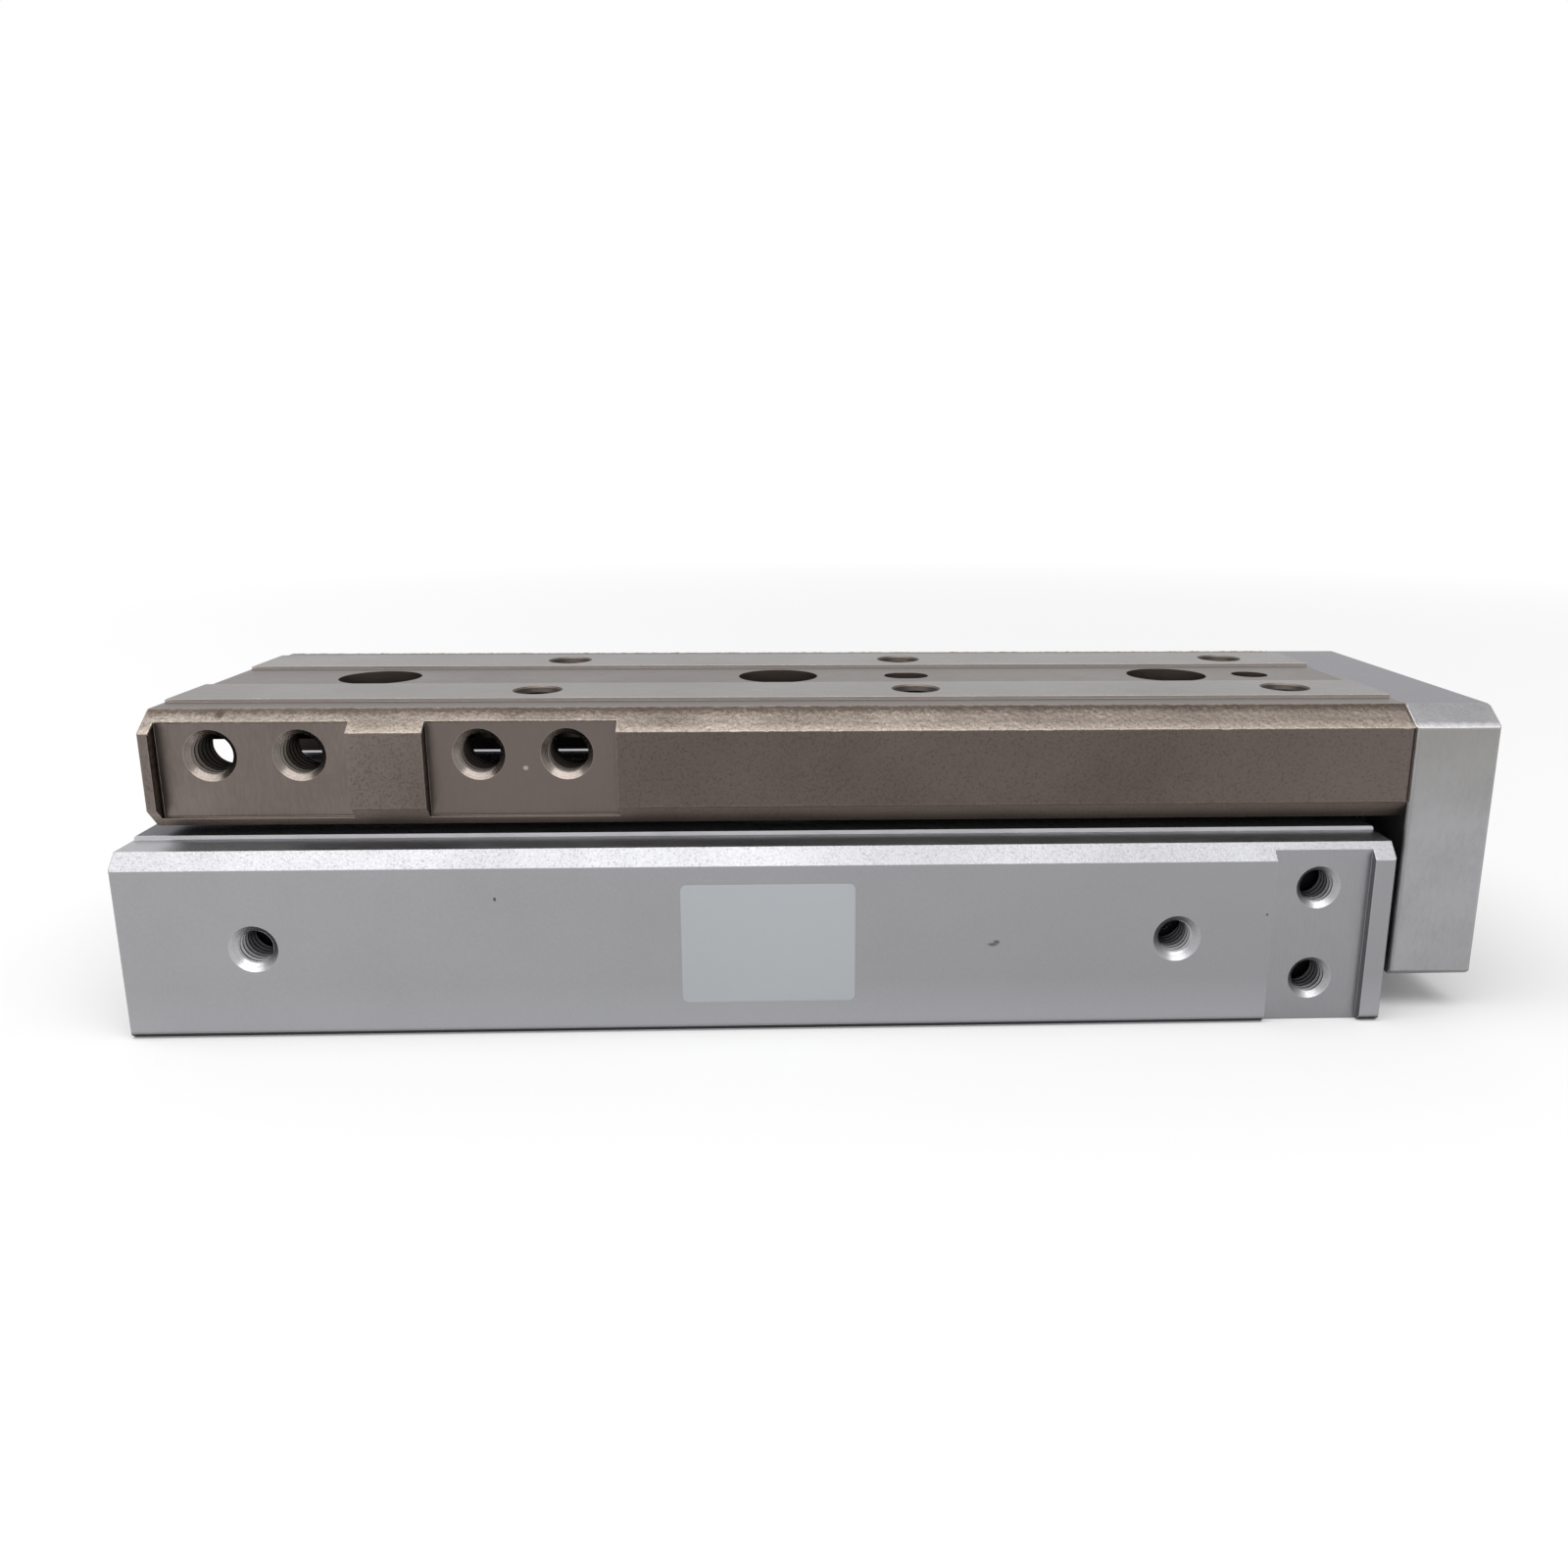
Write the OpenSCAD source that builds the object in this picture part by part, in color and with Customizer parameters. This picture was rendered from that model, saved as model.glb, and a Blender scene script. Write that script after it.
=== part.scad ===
// Air slide table: two pistons side by side in one body push an end plate,
// and the plate's table runs on a recirculating ball guide on top of the body.
// Origin: bottom centre of the whole, table drawn back. +X is the way the table
// travels, +Z is up. Inside the modules x counts from the body's rear face.
// Tapped holes are drawn at the nominal size of their thread.

$fn = 48;

/* [Stroke] */
// Travel of the table
stroke = 75; // [50:5:125]

/* [Body] */
// Width of the body
body_w = 60; // [58:0.5:66]
// Height of the body's top plane
body_h = 23.8; // [23.4:0.1:26]
// Half width of the top plane that carries the guide
top_half_w = 23.1; // [22.5:0.1:24]
// Step from the top plane down to the shelf on each side
shelf_drop = 0.5; // [0.3:0.1:0.8]
// Run of the slope between the top plane and the shelf
shelf_slope = 0.1; // [0.05:0.05:0.5]
// Chamfer along the upper long edges
shelf_chamfer = 1.9; // [1:0.1:2.4]
// Chamfer along the lower long edges
base_chamfer = 0.7; // [0.4:0.1:1.2]
// Chamfer round the body's two end faces
end_chamfer = 0.2; // [0.1:0.05:0.5]

/* [Cylinders] */
// Diameter of the two bores
bore_d = 16; // [15:0.2:16.4]
// Distance between the two bores
bore_pitch = 29; // [28.4:0.2:30]
// Height of the bores above the base
bore_z = 11.5; // [11.2:0.1:12]
// Diameter of the two piston rods
rod_d = 8; // [7:0.2:8.4]
// Radial running clearance of the rods in their covers
rod_clear = 0.05; // [0.02:0.01:0.09]
// Radial running clearance of the piston's metal in its bore
piston_clear = 0.1; // [0.08:0.01:0.1]
// Play between a piston and its bumper at each end of the travel
end_play = 0.25; // [0.2:0.05:0.4]
// Length of the rear collar of the piston
collar_l = 8; // [7:0.5:10]
// Width of the wear ring in the collar
wear_ring_w = 2.9; // [2:0.1:4]
// Length of the magnet ring
magnet_l = 4; // [3:0.5:6]
// Length of the front part of the piston
crown_l = 13.6; // [10:0.2:16]
// Width of the piston seal in the front part
piston_seal_w = 3; // [2.4:0.1:3.6]
// Depth of the piston seal's groove
piston_seal_depth = 2.4; // [2:0.1:2.6]
// Diameter of the rod's stem through the piston
stem_d = 5; // [4:0.2:5.4]
// Thickness of the nut behind the piston
nut_t = 2.7; // [2:0.1:3.2]
// Width across the flats of that nut
nut_af = 8; // [7.4:0.1:8.4]

/* [Covers and rings] */
// Diameter of the seat of the head caps
cap_seat_d = 17.5; // [17:0.1:18]
// Length of the head cap in its seat
cap_l = 7.5; // [6.5:0.5:9]
// Length of the head cap's nose
cap_nose_l = 8.7; // [8.2:0.1:10]
// Depth of the puller thread in a head cap
cap_thread_l = 5; // [4:0.5:7]
// Diameter of the head cap's nose
cap_nose_d = 10; // [9:0.5:11]
// Diameter of the seat of the rod covers
cover_seat_d = 18; // [17.6:0.1:18.4]
// Length of the rod cover in its seat
cover_l = 17.2; // [16:0.2:19]
// Length of the rod cover's nose
cover_nose_l = 10; // [9:0.5:12]
// Diameter of the rod cover's nose
cover_nose_d = 11; // [10.2:0.2:11.6]
// Radial clearance of the caps and covers in their seats
seat_clear = 0.05; // [0.03:0.01:0.08]
// Thickness of the snap rings
ring_t = 1.0; // [0.8:0.1:1.2]
// Depth of a snap ring's groove in the wall
ring_groove = 0.65; // [0.5:0.05:0.8]
// Width of a snap ring's band inside its seat
ring_band = 1.0; // [0.8:0.1:1.3]
// Wall left outside the rear snap rings
rear_lip = 1.0; // [0.8:0.1:2]
// Wall left outside the front snap rings
front_lip = 3.5; // [3.3:0.1:5]
// Section diameter of the O-rings
o_ring_d = 1.2; // [1:0.05:1.4]
// Thickness of the urethane bumpers
bumper_t = 2; // [1.5:0.1:2.5]
// Length of the rod seal
rod_seal_l = 3; // [2.4:0.1:3.6]
// Outer diameter of the rod seal
rod_seal_d = 12; // [11.4:0.1:13]

/* [Ports and grooves] */
// Nominal diameter of the M5 threads
m5_d = 5; // [4.8:0.1:5.2]
// Countersink at the mouth of an air port
port_mouth = 0.45; // [0.2:0.05:0.6]
// Depth of an air port's thread
port_depth = 6.5; // [5.5:0.1:7]
// Diameter of the air way from a port into both bores
air_way_d = 2.5; // [2:0.1:2.8]
// Distance of the rear port from the shoulder of the head cap's seat
rear_port_offset = 6.4; // [5:0.1:6.8]
// Distance of the front port from the shoulder of the rod cover's seat
front_port_offset = 5; // [4.6:0.1:6]
// Diameter of the round sensor grooves
sensor_groove_d = 4.2; // [3.8:0.1:4.4]
// Width of a sensor groove's mouth
sensor_mouth_w = 3.3; // [2.8:0.1:3.5]
// Depth of a sensor groove's centre below the side
sensor_groove_in = 2.7; // [2.5:0.1:3]
// Height of the lower sensor groove
sensor_groove_z = 6.5; // [6:0.1:7]
// Distance between the sensor grooves
sensor_groove_pitch = 10; // [9:0.5:11]

/* [Body holes] */
// Distance of the front mounting hole from the body's front face
mount_from_front = 20.9; // [20.5:0.1:21.5]
// Pitch of the mounting holes
mount_pitch = 55; // [54:0.5:56]
// Diameter of the mounting holes
mount_hole_d = 6.8; // [6.4:0.1:7]
// Diameter of the counterbores and of the access holes in the table
access_d = 11; // [10.5:0.1:11.4]
// Depth of the counterbores below the top plane
counterbore_depth = 7.3; // [7:0.1:7.8]
// Diameter of the locating holes in the base
locate_d = 5; // [4.5:0.1:6]
// Length of the locating slot in the base
locate_slot_l = 6.5; // [6.3:0.1:8]
// Depth of the locating holes in the base
locate_depth = 5; // [4:0.5:6]
// Distance of the locating holes from their mounting holes
locate_offset = 12; // [10:0.5:14]
// Distance of the machined side pad from the body's front face
body_pad_from_front = 2.6; // [2:0.1:4]
// Length of the machined side pad
body_pad_l = 12.2; // [10:0.1:13]
// Distance of the pad's threads from its rear end
body_pad_hole_in = 5.8; // [5.4:0.1:6.2]
// Depth of the machined side pad
body_pad_depth = 1.1; // [0.6:0.1:1.3]
// Height of the upper end of the machined side pad
body_pad_top = 22.7; // [22:0.1:23]
// Height of the lower tapped hole in the side pad
body_pad_hole_z = 5.6; // [5.2:0.1:6]
// Distance between the two tapped holes in the side pad
body_pad_hole_pitch = 12; // [11.5:0.1:12.5]
// Depth of the tapped holes in the side pad
body_pad_hole_depth = 5.5; // [4.5:0.1:6]
// Countersink at the mouth of the side pad's threads
body_pad_mouth = 0.25; // [0.1:0.05:0.5]

/* [Table] */
// Width of the table
table_w = 52.6; // [52:0.1:54]
// Height of the table, from its lower edges to its lands
table_h = 14.65; // [14.4:0.05:15.5]
// Gap between the body's top plane and the table's lower edges
table_gap = 1.55; // [1:0.05:2]
// Distance of the table's rear end from the body's rear face
table_setback = 3.5; // [2:0.5:6]
// Half width of the channel that runs over the guide
channel_half_w = 17.6; // [17.2:0.1:18]
// Thickness of the roof above the channel
roof_t = 5.5; // [5.2:0.1:5.6]
// Chamfer in the upper corners of the channel
channel_chamfer = 0.8; // [0.4:0.1:1.2]
// Distance of a land's inner edge from the middle
land_inner = 7.5; // [6:0.1:8]
// Distance of a land's outer edge from the middle
land_outer = 18.5; // [17:0.1:20]
// Height of the lands above the surface beside them
land_step = 0.4; // [0.2:0.05:0.6]
// Width of the table's upper chamfer
top_chamfer_w = 3.5; // [3:0.1:3.8]
// Height of the table's upper chamfer
top_chamfer_h = 2.4; // [2:0.1:2.8]
// Width of the table's lower chamfer
foot_chamfer_w = 2.4; // [2:0.1:2.8]
// Height of the table's lower chamfer
foot_chamfer_h = 2.55; // [2:0.05:2.8]
// Chamfer round the table's end faces
table_end_chamfer = 0.15; // [0.1:0.05:0.4]

/* [Table holes] */
// Nominal diameter of the M6 threads
m6_d = 6; // [5.8:0.1:6.1]
// Countersink at the mouth of the table's and end plate's threads
thread_mouth = 0.2; // [0.1:0.05:0.3]
// Distance of the front pair of top threads from the end plate
top_hole_from_front = 11.4; // [10:0.1:12]
// Pitch of the top threads along the table
top_hole_pitch = 49; // [48:0.5:50]
// Distance between the two rows of top threads
top_hole_rows = 25.7; // [25:0.1:26.4]
// Diameter of the locating hole in the table
table_locate_d = 5; // [4.5:0.1:5.5]
// Length of the locating slot in the table
table_slot_l = 6.2; // [6:0.1:8]
// Distance of the first pair of side threads from the table's rear end
side_pair_offset = 12.7; // [12.5:0.1:13.3]
// Distance between the two pairs of side threads
side_pair_pitch = 32; // [31:0.5:33]
// Distance between the two side threads of a pair
side_hole_pitch = 10.6; // [10:0.1:11]
// Height of the side threads above the table's lower edges
side_hole_rise = 8.8; // [8.6:0.1:9.2]
// Length of each machined pad on the table's side
table_pad_l = 23; // [21.6:0.1:23.4]
// Wall left between the table's rear end and the first pad
table_pad_rim = 1.2; // [1:0.1:1.8]
// Depth of the machined pads on the table's side
table_pad_depth = 1.9; // [1:0.1:2.2]
// Height of the pads' lower edge above the table's lower edges
table_pad_rise = 1.15; // [0.8:0.05:1.6]
// Height of the pads
table_pad_h = 11.8; // [11.4:0.1:12.4]

/* [End plate] */
// Thickness of the end plate
plate_t = 10.7; // [10.5:0.1:14]
// Gap between the body's front face and the end plate
plate_gap = 2.5; // [1.5:0.5:4]
// Height of the end plate's lower edge
plate_z = 4.6; // [4.4:0.05:5.2]
// Chamfer round the end plate
plate_chamfer = 0.25; // [0.15:0.05:0.5]
// Chamfer of the end plate's lower edges
plate_foot_chamfer = 0.7; // [0.5:0.1:1.2]
// Height of the lower row of workpiece threads
plate_hole_z = 20.5; // [20.3:0.1:21]
// Distance between the two columns of workpiece threads
plate_hole_pitch_y = 26; // [25.4:0.1:26.6]
// Distance between the two rows of workpiece threads
plate_hole_pitch_z = 14; // [13.6:0.1:14.4]
// Distance of the screws into the table from the wall of its channel
plate_screw_wall = 3.4; // [3.2:0.1:3.6]
// Distance of the screws into the table below the lands
plate_screw_down = 7.5; // [7.2:0.1:7.8]
// Length of the screws into the table
plate_screw_l = 16; // [14:1:20]
// Diameter of the floating bushes
bush_d = 9.8; // [9.4:0.1:10]
// Clearance round the floating bushes
bush_clear = 0.1; // [0.05:0.01:0.15]
// Thickness of the washers outside the bushes
washer_t = 1; // [0.8:0.1:1.2]
// Head height of the rod end screws
rod_screw_head_h = 2.8; // [2.4:0.1:3]

/* [Ball guide] */
// Diameter of the balls
ball_d = 3; // [2.8:0.1:3.2]
// Clearance between a ball and its race
race_clear = 0.05; // [0.03:0.01:0.08]
// Clearance between a ball and the return passage
return_clear = 0.1; // [0.06:0.01:0.15]
// Smallest gap between two balls
ball_gap = 0.03; // [0.02:0.01:0.2]
// Height of the balls above the body's top plane
race_rise = 5.4; // [5.2:0.1:5.6]
// Gap between the guide block's sides and the channel
block_gap = 0.8; // [0.7:0.05:1]
// Gap between the guide block's top and the channel's roof
block_top_gap = 0.6; // [0.4:0.1:0.8]
// Length of the steel guide block
block_l = 50; // [46:1:52]
// Distance of the ball guide's front end from the body's front face
guide_from_front = 3; // [2.5:0.1:4]
// Radius of the balls' turn at each end
turn_r = 2.6; // [2.3:0.1:2.8]
// Length of a return guide
return_guide_l = 6.8; // [6:0.2:8]
// Thickness of a scraper
scraper_t = 1.2; // [1:0.1:1.6]
// Gap between the scrapers and the channel
scraper_gap = 0.3; // [0.2:0.05:0.5]
// Half width of the guide block's foot
foot_half_w = 15.5; // [15:0.1:16]
// Height of the guide block's foot
foot_h = 2.4; // [2:0.1:3]
// Distance of the block's screws from the middle
block_screw_y = 4.5; // [4.3:0.1:4.8]
// Distance of the rear pair of block screws from the block's rear end
block_screw_in = 7; // [6.5:0.5:9]
// Distance between the two pairs of block screws
block_screw_pitch = 21; // [18:0.5:22]
// Depth of the block screws' threads below the top plane
block_screw_depth = 8.8; // [8.5:0.1:9]

/* [Hidden] */

left = 1;
right = -1;
sides = [left, right];
cut = 1;                 // how far a cutting tool runs past a face
thread_clear = 0.03;     // between a screw and the thread that it sits in
tip_play = 0.2;          // between a screw's tip and the floor of its thread

// Colours of the finishes
anodised = [0.66, 0.67, 0.69];
nickel = [0.50, 0.47, 0.44];
steel = [0.62, 0.63, 0.65];
bright_steel = [0.80, 0.81, 0.83];
black_oxide = [0.14, 0.14, 0.15];
brass_colour = [0.72, 0.58, 0.30];
resin = [0.16, 0.17, 0.19];
urethane = [0.82, 0.74, 0.50];
nitrile = [0.08, 0.08, 0.09];

// Stations along the cylinders, from the body's rear face
bore_r = bore_d / 2;
bore_y = bore_pitch / 2;
rod_r = rod_d / 2;
stem_r = stem_d / 2;
cap_x = rear_lip + ring_t;
cap_seat_x = cap_x + cap_l;
cap_nose_x = cap_seat_x + cap_nose_l;
rear_stop_x = cap_nose_x + bumper_t;
piston_x = rear_stop_x + end_play;
magnet_x = piston_x + collar_l;
crown_x = magnet_x + magnet_l;
rod_x = crown_x + crown_l;
front_stop_x = rod_x + stroke + end_play;
cover_nose_x = front_stop_x + bumper_t;
cover_seat_x = cover_nose_x + cover_nose_l;
cover_x = cover_seat_x + cover_l;
body_l = cover_x + ring_t + front_lip;
rear_port_x = cap_seat_x + rear_port_offset;
front_port_x = cover_seat_x - front_port_offset;

// The whole
plate_x = body_l + plate_gap;
overall_l = plate_x + plate_t;
overall_h = body_h + table_gap + table_h;

// Seats, caps and rings
cap_seat_r = cap_seat_d / 2;
cover_seat_r = cover_seat_d / 2;
cap_r = cap_seat_r - seat_clear;
cover_r = cover_seat_r - seat_clear;
o_ring_r = o_ring_d / 2;
o_groove_w = o_ring_d + 0.4;
o_seat = 0.09;            // room outside an O-ring, where it is squeezed
groove_play = 0.05;       // room on each side of a snap ring in its groove
stem_clear = 0.04;        // between the rod's stem and what is threaded on it
seal_play = 0.1;          // on each side of a seal in its groove
wear_ring_t = 1;          // depth of the wear ring's groove
piston_seal_x = crown_x + crown_l * 0.55;
bumper_r = bore_r - 1;
rear_bumper_r = cap_nose_d / 2 + 0.5;
bumper_stem_r = 2;
bumper_stem_l = 2.8;
rod_seal_r = rod_seal_d / 2;
gland_x = cover_x - 1.5 - rod_seal_l;

// Body outline
body_half_w = body_w / 2;
shelf_z = body_h - shelf_drop;
shelf_in_y = top_half_w + shelf_slope;
shelf_out_y = body_half_w - shelf_chamfer;
mount_front_x = body_l - mount_from_front;
mount_count = floor((mount_front_x - cap_seat_x - access_d / 2) / mount_pitch) + 1;
mount_xs = [for (i = [0 : mount_count - 1]) mount_front_x - i * mount_pitch];
mount_rear_x = mount_xs[mount_count - 1];
body_pad_x = body_l - body_pad_from_front - body_pad_l;

// Table outline
table_half_w = table_w / 2;
table_z = body_h + table_gap;
table_l = plate_x - table_setback;
table_top_z = overall_h - land_step;
ceiling_z = overall_h - roof_t;
top_hole_count = floor((table_l - top_hole_from_front - m6_d) / top_hole_pitch) + 1;
top_hole_front_x = plate_x - top_hole_from_front;
side_hole_z = table_z + side_hole_rise;
table_pad_z = table_z + table_pad_rise;
side_pair_x = table_setback + side_pair_offset;
side_pair_xs = [side_pair_x, side_pair_x + side_pair_pitch];

// End plate
plate_screw_y = channel_half_w + plate_screw_wall;
plate_screw_z = overall_h - plate_screw_down;
m5_head_d = 8.5;
m5_head_h = 5;
plate_recess_r = m5_head_d / 2 + 0.25;
plate_recess_depth = m5_head_h + 0.4;
plate_recess_x = plate_x + plate_t - plate_recess_depth;
bush_r = bush_d / 2;
washer_r = bush_r + 0.3;
rod_recess_r = washer_r + 0.3;
rod_recess_depth = washer_t + rod_screw_head_h + 0.2;
bush_l = plate_t - rod_recess_depth;
rod_thread_l = 12;

// Ball guide
ball_r = ball_d / 2;
race_r = ball_r + race_clear;
return_r = ball_r + return_clear;
block_half_w = channel_half_w - block_gap;
race_y = (channel_half_w + block_half_w) / 2;
race_z = body_h + race_rise;
turn_y = race_y - turn_r;
return_y = race_y - 2 * turn_r;
block_top_z = ceiling_z - block_top_gap;
guide_end_x = body_l - guide_from_front;
block_end_x = guide_end_x - scraper_t - return_guide_l;
block_x = block_end_x - block_l;
block_screw_xs = [block_x + block_screw_in, block_x + block_screw_in + block_screw_pitch];
block_chamfer = 0.7;
m4_r = 2;
m4_clear_r = 2.25;
m4_head_d = 7;
m4_head_h = 4;
m4_l = 14;
block_recess_r = m4_head_d / 2 + 0.2;
block_recess_z = block_top_z - m4_head_h - 0.2;
guide_screw_y = 8;
guide_screw_z = race_z - 2.5;
m2_r = 1;
m2_clear_r = 1.2;
m2_head_r = 1.9;
m2_head_h = 1.3;
m2_depth = 5;
loop_l = 2 * block_l + 2 * PI * turn_r;
ball_pitch = 2 * turn_r * asin((ball_d + ball_gap) / (2 * turn_r)) * PI / 180;
ball_count = floor(loop_l / ball_pitch);

// Moves what is drawn from the body's rear face to the part's own origin
module in_frame() {
    translate([-overall_l / 2, 0, 0]) children();
}

// A round bar along x
module bar_x(r, x0, x1) {
    translate([x0, 0, 0]) rotate([0, 90, 0]) cylinder(r = r, h = x1 - x0);
}

// A solid of revolution about the x axis, from points [radius, x]
module turned(points) {
    rotate([0, 90, 0]) rotate_extrude() polygon(points);
}

// A profile of points [y, z], drawn out along x
module drawn_x(points, x0, x1) {
    translate([x0, 0, 0]) rotate([90, 0, 90]) linear_extrude(x1 - x0) polygon(points);
}

// A half profile of points [y, z] with y above 0, mirrored to both sides
function mirrored(half) =
    concat(half, [for (i = [len(half) - 1 : -1 : 0]) [-half[i][0], half[i][1]]]);

// Puts its children on the axis of one cylinder
module on_bore(side) {
    translate([0, side * bore_y, bore_z]) children();
}

// Puts its children on both cylinders
module on_both_bores() {
    for (side = sides) on_bore(side) children();
}

// A block with all its end edges chamfered, to meet a profile drawn along x
module end_chamfers(x0, x1, half_w, z0, z1, c) {
    plan = [[x0 + c, -half_w], [x1 - c, -half_w], [x1, -half_w + c], [x1, half_w - c],
            [x1 - c, half_w], [x0 + c, half_w], [x0, half_w - c], [x0, -half_w + c]];
    elevation = [[x0 + c, z0], [x1 - c, z0], [x1, z0 + c], [x1, z1 - c],
                 [x1 - c, z1], [x0 + c, z1], [x0, z1 - c], [x0, z0 + c]];
    intersection() {
        translate([0, 0, z0 - cut]) linear_extrude(z1 - z0 + 2 * cut) polygon(plan);
        translate([0, half_w + cut, 0]) rotate([90, 0, 0])
            linear_extrude(2 * (half_w + cut)) polygon(elevation);
    }
}

// A tapped hole going down from z = 0, with a 45 degree countersink
module tapped_hole(d, depth, mouth) {
    translate([0, 0, -depth]) cylinder(d = d, h = depth + cut);
    translate([0, 0, -mouth])
        cylinder(r1 = d / 2, r2 = d / 2 + mouth + cut, h = mouth + cut);
}

// A slot going down from z = 0, its length along x
module slot_hole(d, l, depth) {
    reach = (l - d) / 2;
    translate([0, 0, -depth]) linear_extrude(depth + cut) union() {
        for (end = [-reach, reach]) translate([end, 0]) circle(d = d);
        square([2 * reach, d], center = true);
    }
}

// A socket screw that points down, with its head standing on z = 0
module socket_screw(shank_r, l, head_d, head_h, key_af) {
    edge = 0.1 * head_h;
    difference() {
        rotate_extrude() polygon([[0, -l], [shank_r - 0.3, -l], [shank_r, 0.3 - l], [shank_r, 0],
                                  [head_d / 2, 0], [head_d / 2, head_h - edge],
                                  [head_d / 2 - edge, head_h], [0, head_h]]);
        translate([0, 0, head_h * 0.45])
            cylinder(d = key_af / cos(30), h = head_h, $fn = 6);
    }
}

// A C-shaped snap ring in the plane x = 0, ring_t thick, with its lugs downwards
module snap_ring(seat_r) {
    outer_r = seat_r + ring_groove - groove_play;
    inner_r = seat_r - ring_band;
    lug_r = 1.2;
    lug_at = [for (s = sides) [s * 2.1, 1.1 - inner_r]];
    rotate([90, 0, 90]) linear_extrude(ring_t) difference() {
        union() {
            difference() {
                circle(r = outer_r);
                circle(r = inner_r);
                translate([-1.6, -outer_r - cut]) square([3.2, outer_r]);
            }
            for (p = lug_at) translate(p) circle(r = lug_r);
        }
        for (p = lug_at) translate(p) circle(r = 0.55);
    }
}

// ---- Body ----

module body_blank() {
    half = [[body_half_w - base_chamfer, 0], [body_half_w, base_chamfer],
            [body_half_w, shelf_z - shelf_chamfer], [shelf_out_y, shelf_z],
            [shelf_in_y, shelf_z], [top_half_w, body_h]];
    intersection() {
        drawn_x(mirrored(half), 0, body_l);
        end_chamfers(0, body_l, body_half_w, 0, body_h, end_chamfer);
    }
}

// Bore, both seats and both snap ring grooves of one cylinder
module cylinder_cut() {
    bar_x(bore_r, -cut, body_l + cut);
    bar_x(cap_seat_r, -cut, cap_seat_x);
    bar_x(cover_seat_r, cover_seat_x, body_l + cut);
    bar_x(cap_seat_r + ring_groove, rear_lip - groove_play, cap_x + groove_play);
    bar_x(cover_seat_r + ring_groove, cover_x - groove_play, cover_x + ring_t + groove_play);
    turned([[0, -cut], [cap_seat_r + 0.4 + cut, -cut], [cap_seat_r, 0.4], [0, 0.4]]);
    turned([[0, body_l - 0.6], [cover_seat_r, body_l - 0.6],
            [cover_seat_r + 0.6 + cut, body_l + cut], [0, body_l + cut]]);
}

// Air port on the right side, and its way through the near bore into the far one
module port_cut(x) {
    translate([x, -body_half_w, bore_z]) rotate([90, 0, 0]) 
        tapped_hole(m5_d, port_depth, port_mouth);
    translate([x, -body_half_w + port_depth - cut, bore_z]) rotate([-90, 0, 0])
        cylinder(d = air_way_d, h = body_half_w + bore_y - bore_r - port_depth + 2 * cut);
}

module mounting_hole(x) {
    translate([x, 0, -cut]) cylinder(d = mount_hole_d, h = body_h + 2 * cut);
    translate([x, 0, body_h - counterbore_depth])
        cylinder(d = access_d, h = counterbore_depth + cut);
    translate([x, 0, -cut])
        cylinder(r1 = mount_hole_d / 2 + 0.6 + cut, r2 = mount_hole_d / 2, h = 0.6 + cut);
}

module sensor_groove(z) {
    translate([0, body_half_w - sensor_groove_in, z]) {
        bar_x(sensor_groove_d / 2, -cut, body_l + cut);
        translate([-cut, 0, -sensor_mouth_w / 2])
            cube([body_l + 2 * cut, sensor_groove_in + cut, sensor_mouth_w]);
    }
}

// Machined pad with two threads at the front of the right side
module body_pad_cut() {
    translate([body_pad_x, -body_half_w - cut, -cut])
        cube([body_pad_l, body_pad_depth + cut, body_pad_top + cut]);
    for (z = [body_pad_hole_z, body_pad_hole_z + body_pad_hole_pitch])
        translate([body_pad_x + body_pad_hole_in, body_pad_depth - body_half_w, z])
            rotate([90, 0, 0]) tapped_hole(m5_d, body_pad_hole_depth, body_pad_mouth);
}

module cylinder_body() {
    color(anodised) in_frame() difference() {
        body_blank();
        on_both_bores() cylinder_cut();
        for (x = [rear_port_x, front_port_x]) port_cut(x);
        for (x = mount_xs) mounting_hole(x);
        for (i = [0, 1]) sensor_groove(sensor_groove_z + i * sensor_groove_pitch);
        body_pad_cut();
        translate([mount_front_x - locate_offset, 0, -cut])
            cylinder(d = locate_d, h = locate_depth + cut);
        translate([mount_rear_x + locate_offset, 0, 0]) mirror([0, 0, 1])
            slot_hole(locate_d, locate_slot_l, locate_depth);
        for (x = block_screw_xs, side = sides)
            translate([x, side * block_screw_y, body_h - block_screw_depth])
                cylinder(r = m4_r, h = block_screw_depth + cut);
    }
}

// ---- Rear end of the cylinders ----

module head_cap(side) {
    groove_r = cap_seat_r - o_seat - o_ring_d;
    groove_x = (cap_x + cap_seat_x) / 2;
    color(anodised) in_frame() on_bore(side) difference() {
        turned([[0, cap_x], [cap_r - 0.4, cap_x], [cap_r, cap_x + 0.4],
                [cap_r, groove_x - o_groove_w / 2], [groove_r, groove_x - o_groove_w / 2],
                [groove_r, groove_x + o_groove_w / 2], [cap_r, groove_x + o_groove_w / 2],
                [cap_r, cap_seat_x], [cap_nose_d / 2, cap_seat_x],
                [cap_nose_d / 2, cap_nose_x], [0, cap_nose_x]]);
        bar_x(bumper_stem_r + seat_clear, cap_nose_x - bumper_stem_l - 0.2, cap_nose_x + cut);
        bar_x(m4_r, cap_x - cut, cap_x + cap_thread_l);
    }
}

module head_cap_o_rings() {
    ring_r = cap_seat_r - o_seat - o_ring_r;
    color(nitrile) in_frame() on_both_bores() translate([(cap_x + cap_seat_x) / 2, 0, 0])
        rotate([0, 90, 0]) rotate_extrude() translate([ring_r, 0]) circle(r = o_ring_r - 0.01);
}

module head_cap_snap_rings() {
    color(black_oxide) in_frame() on_both_bores()
        translate([rear_lip, 0, 0]) snap_ring(cap_seat_r);
}

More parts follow.
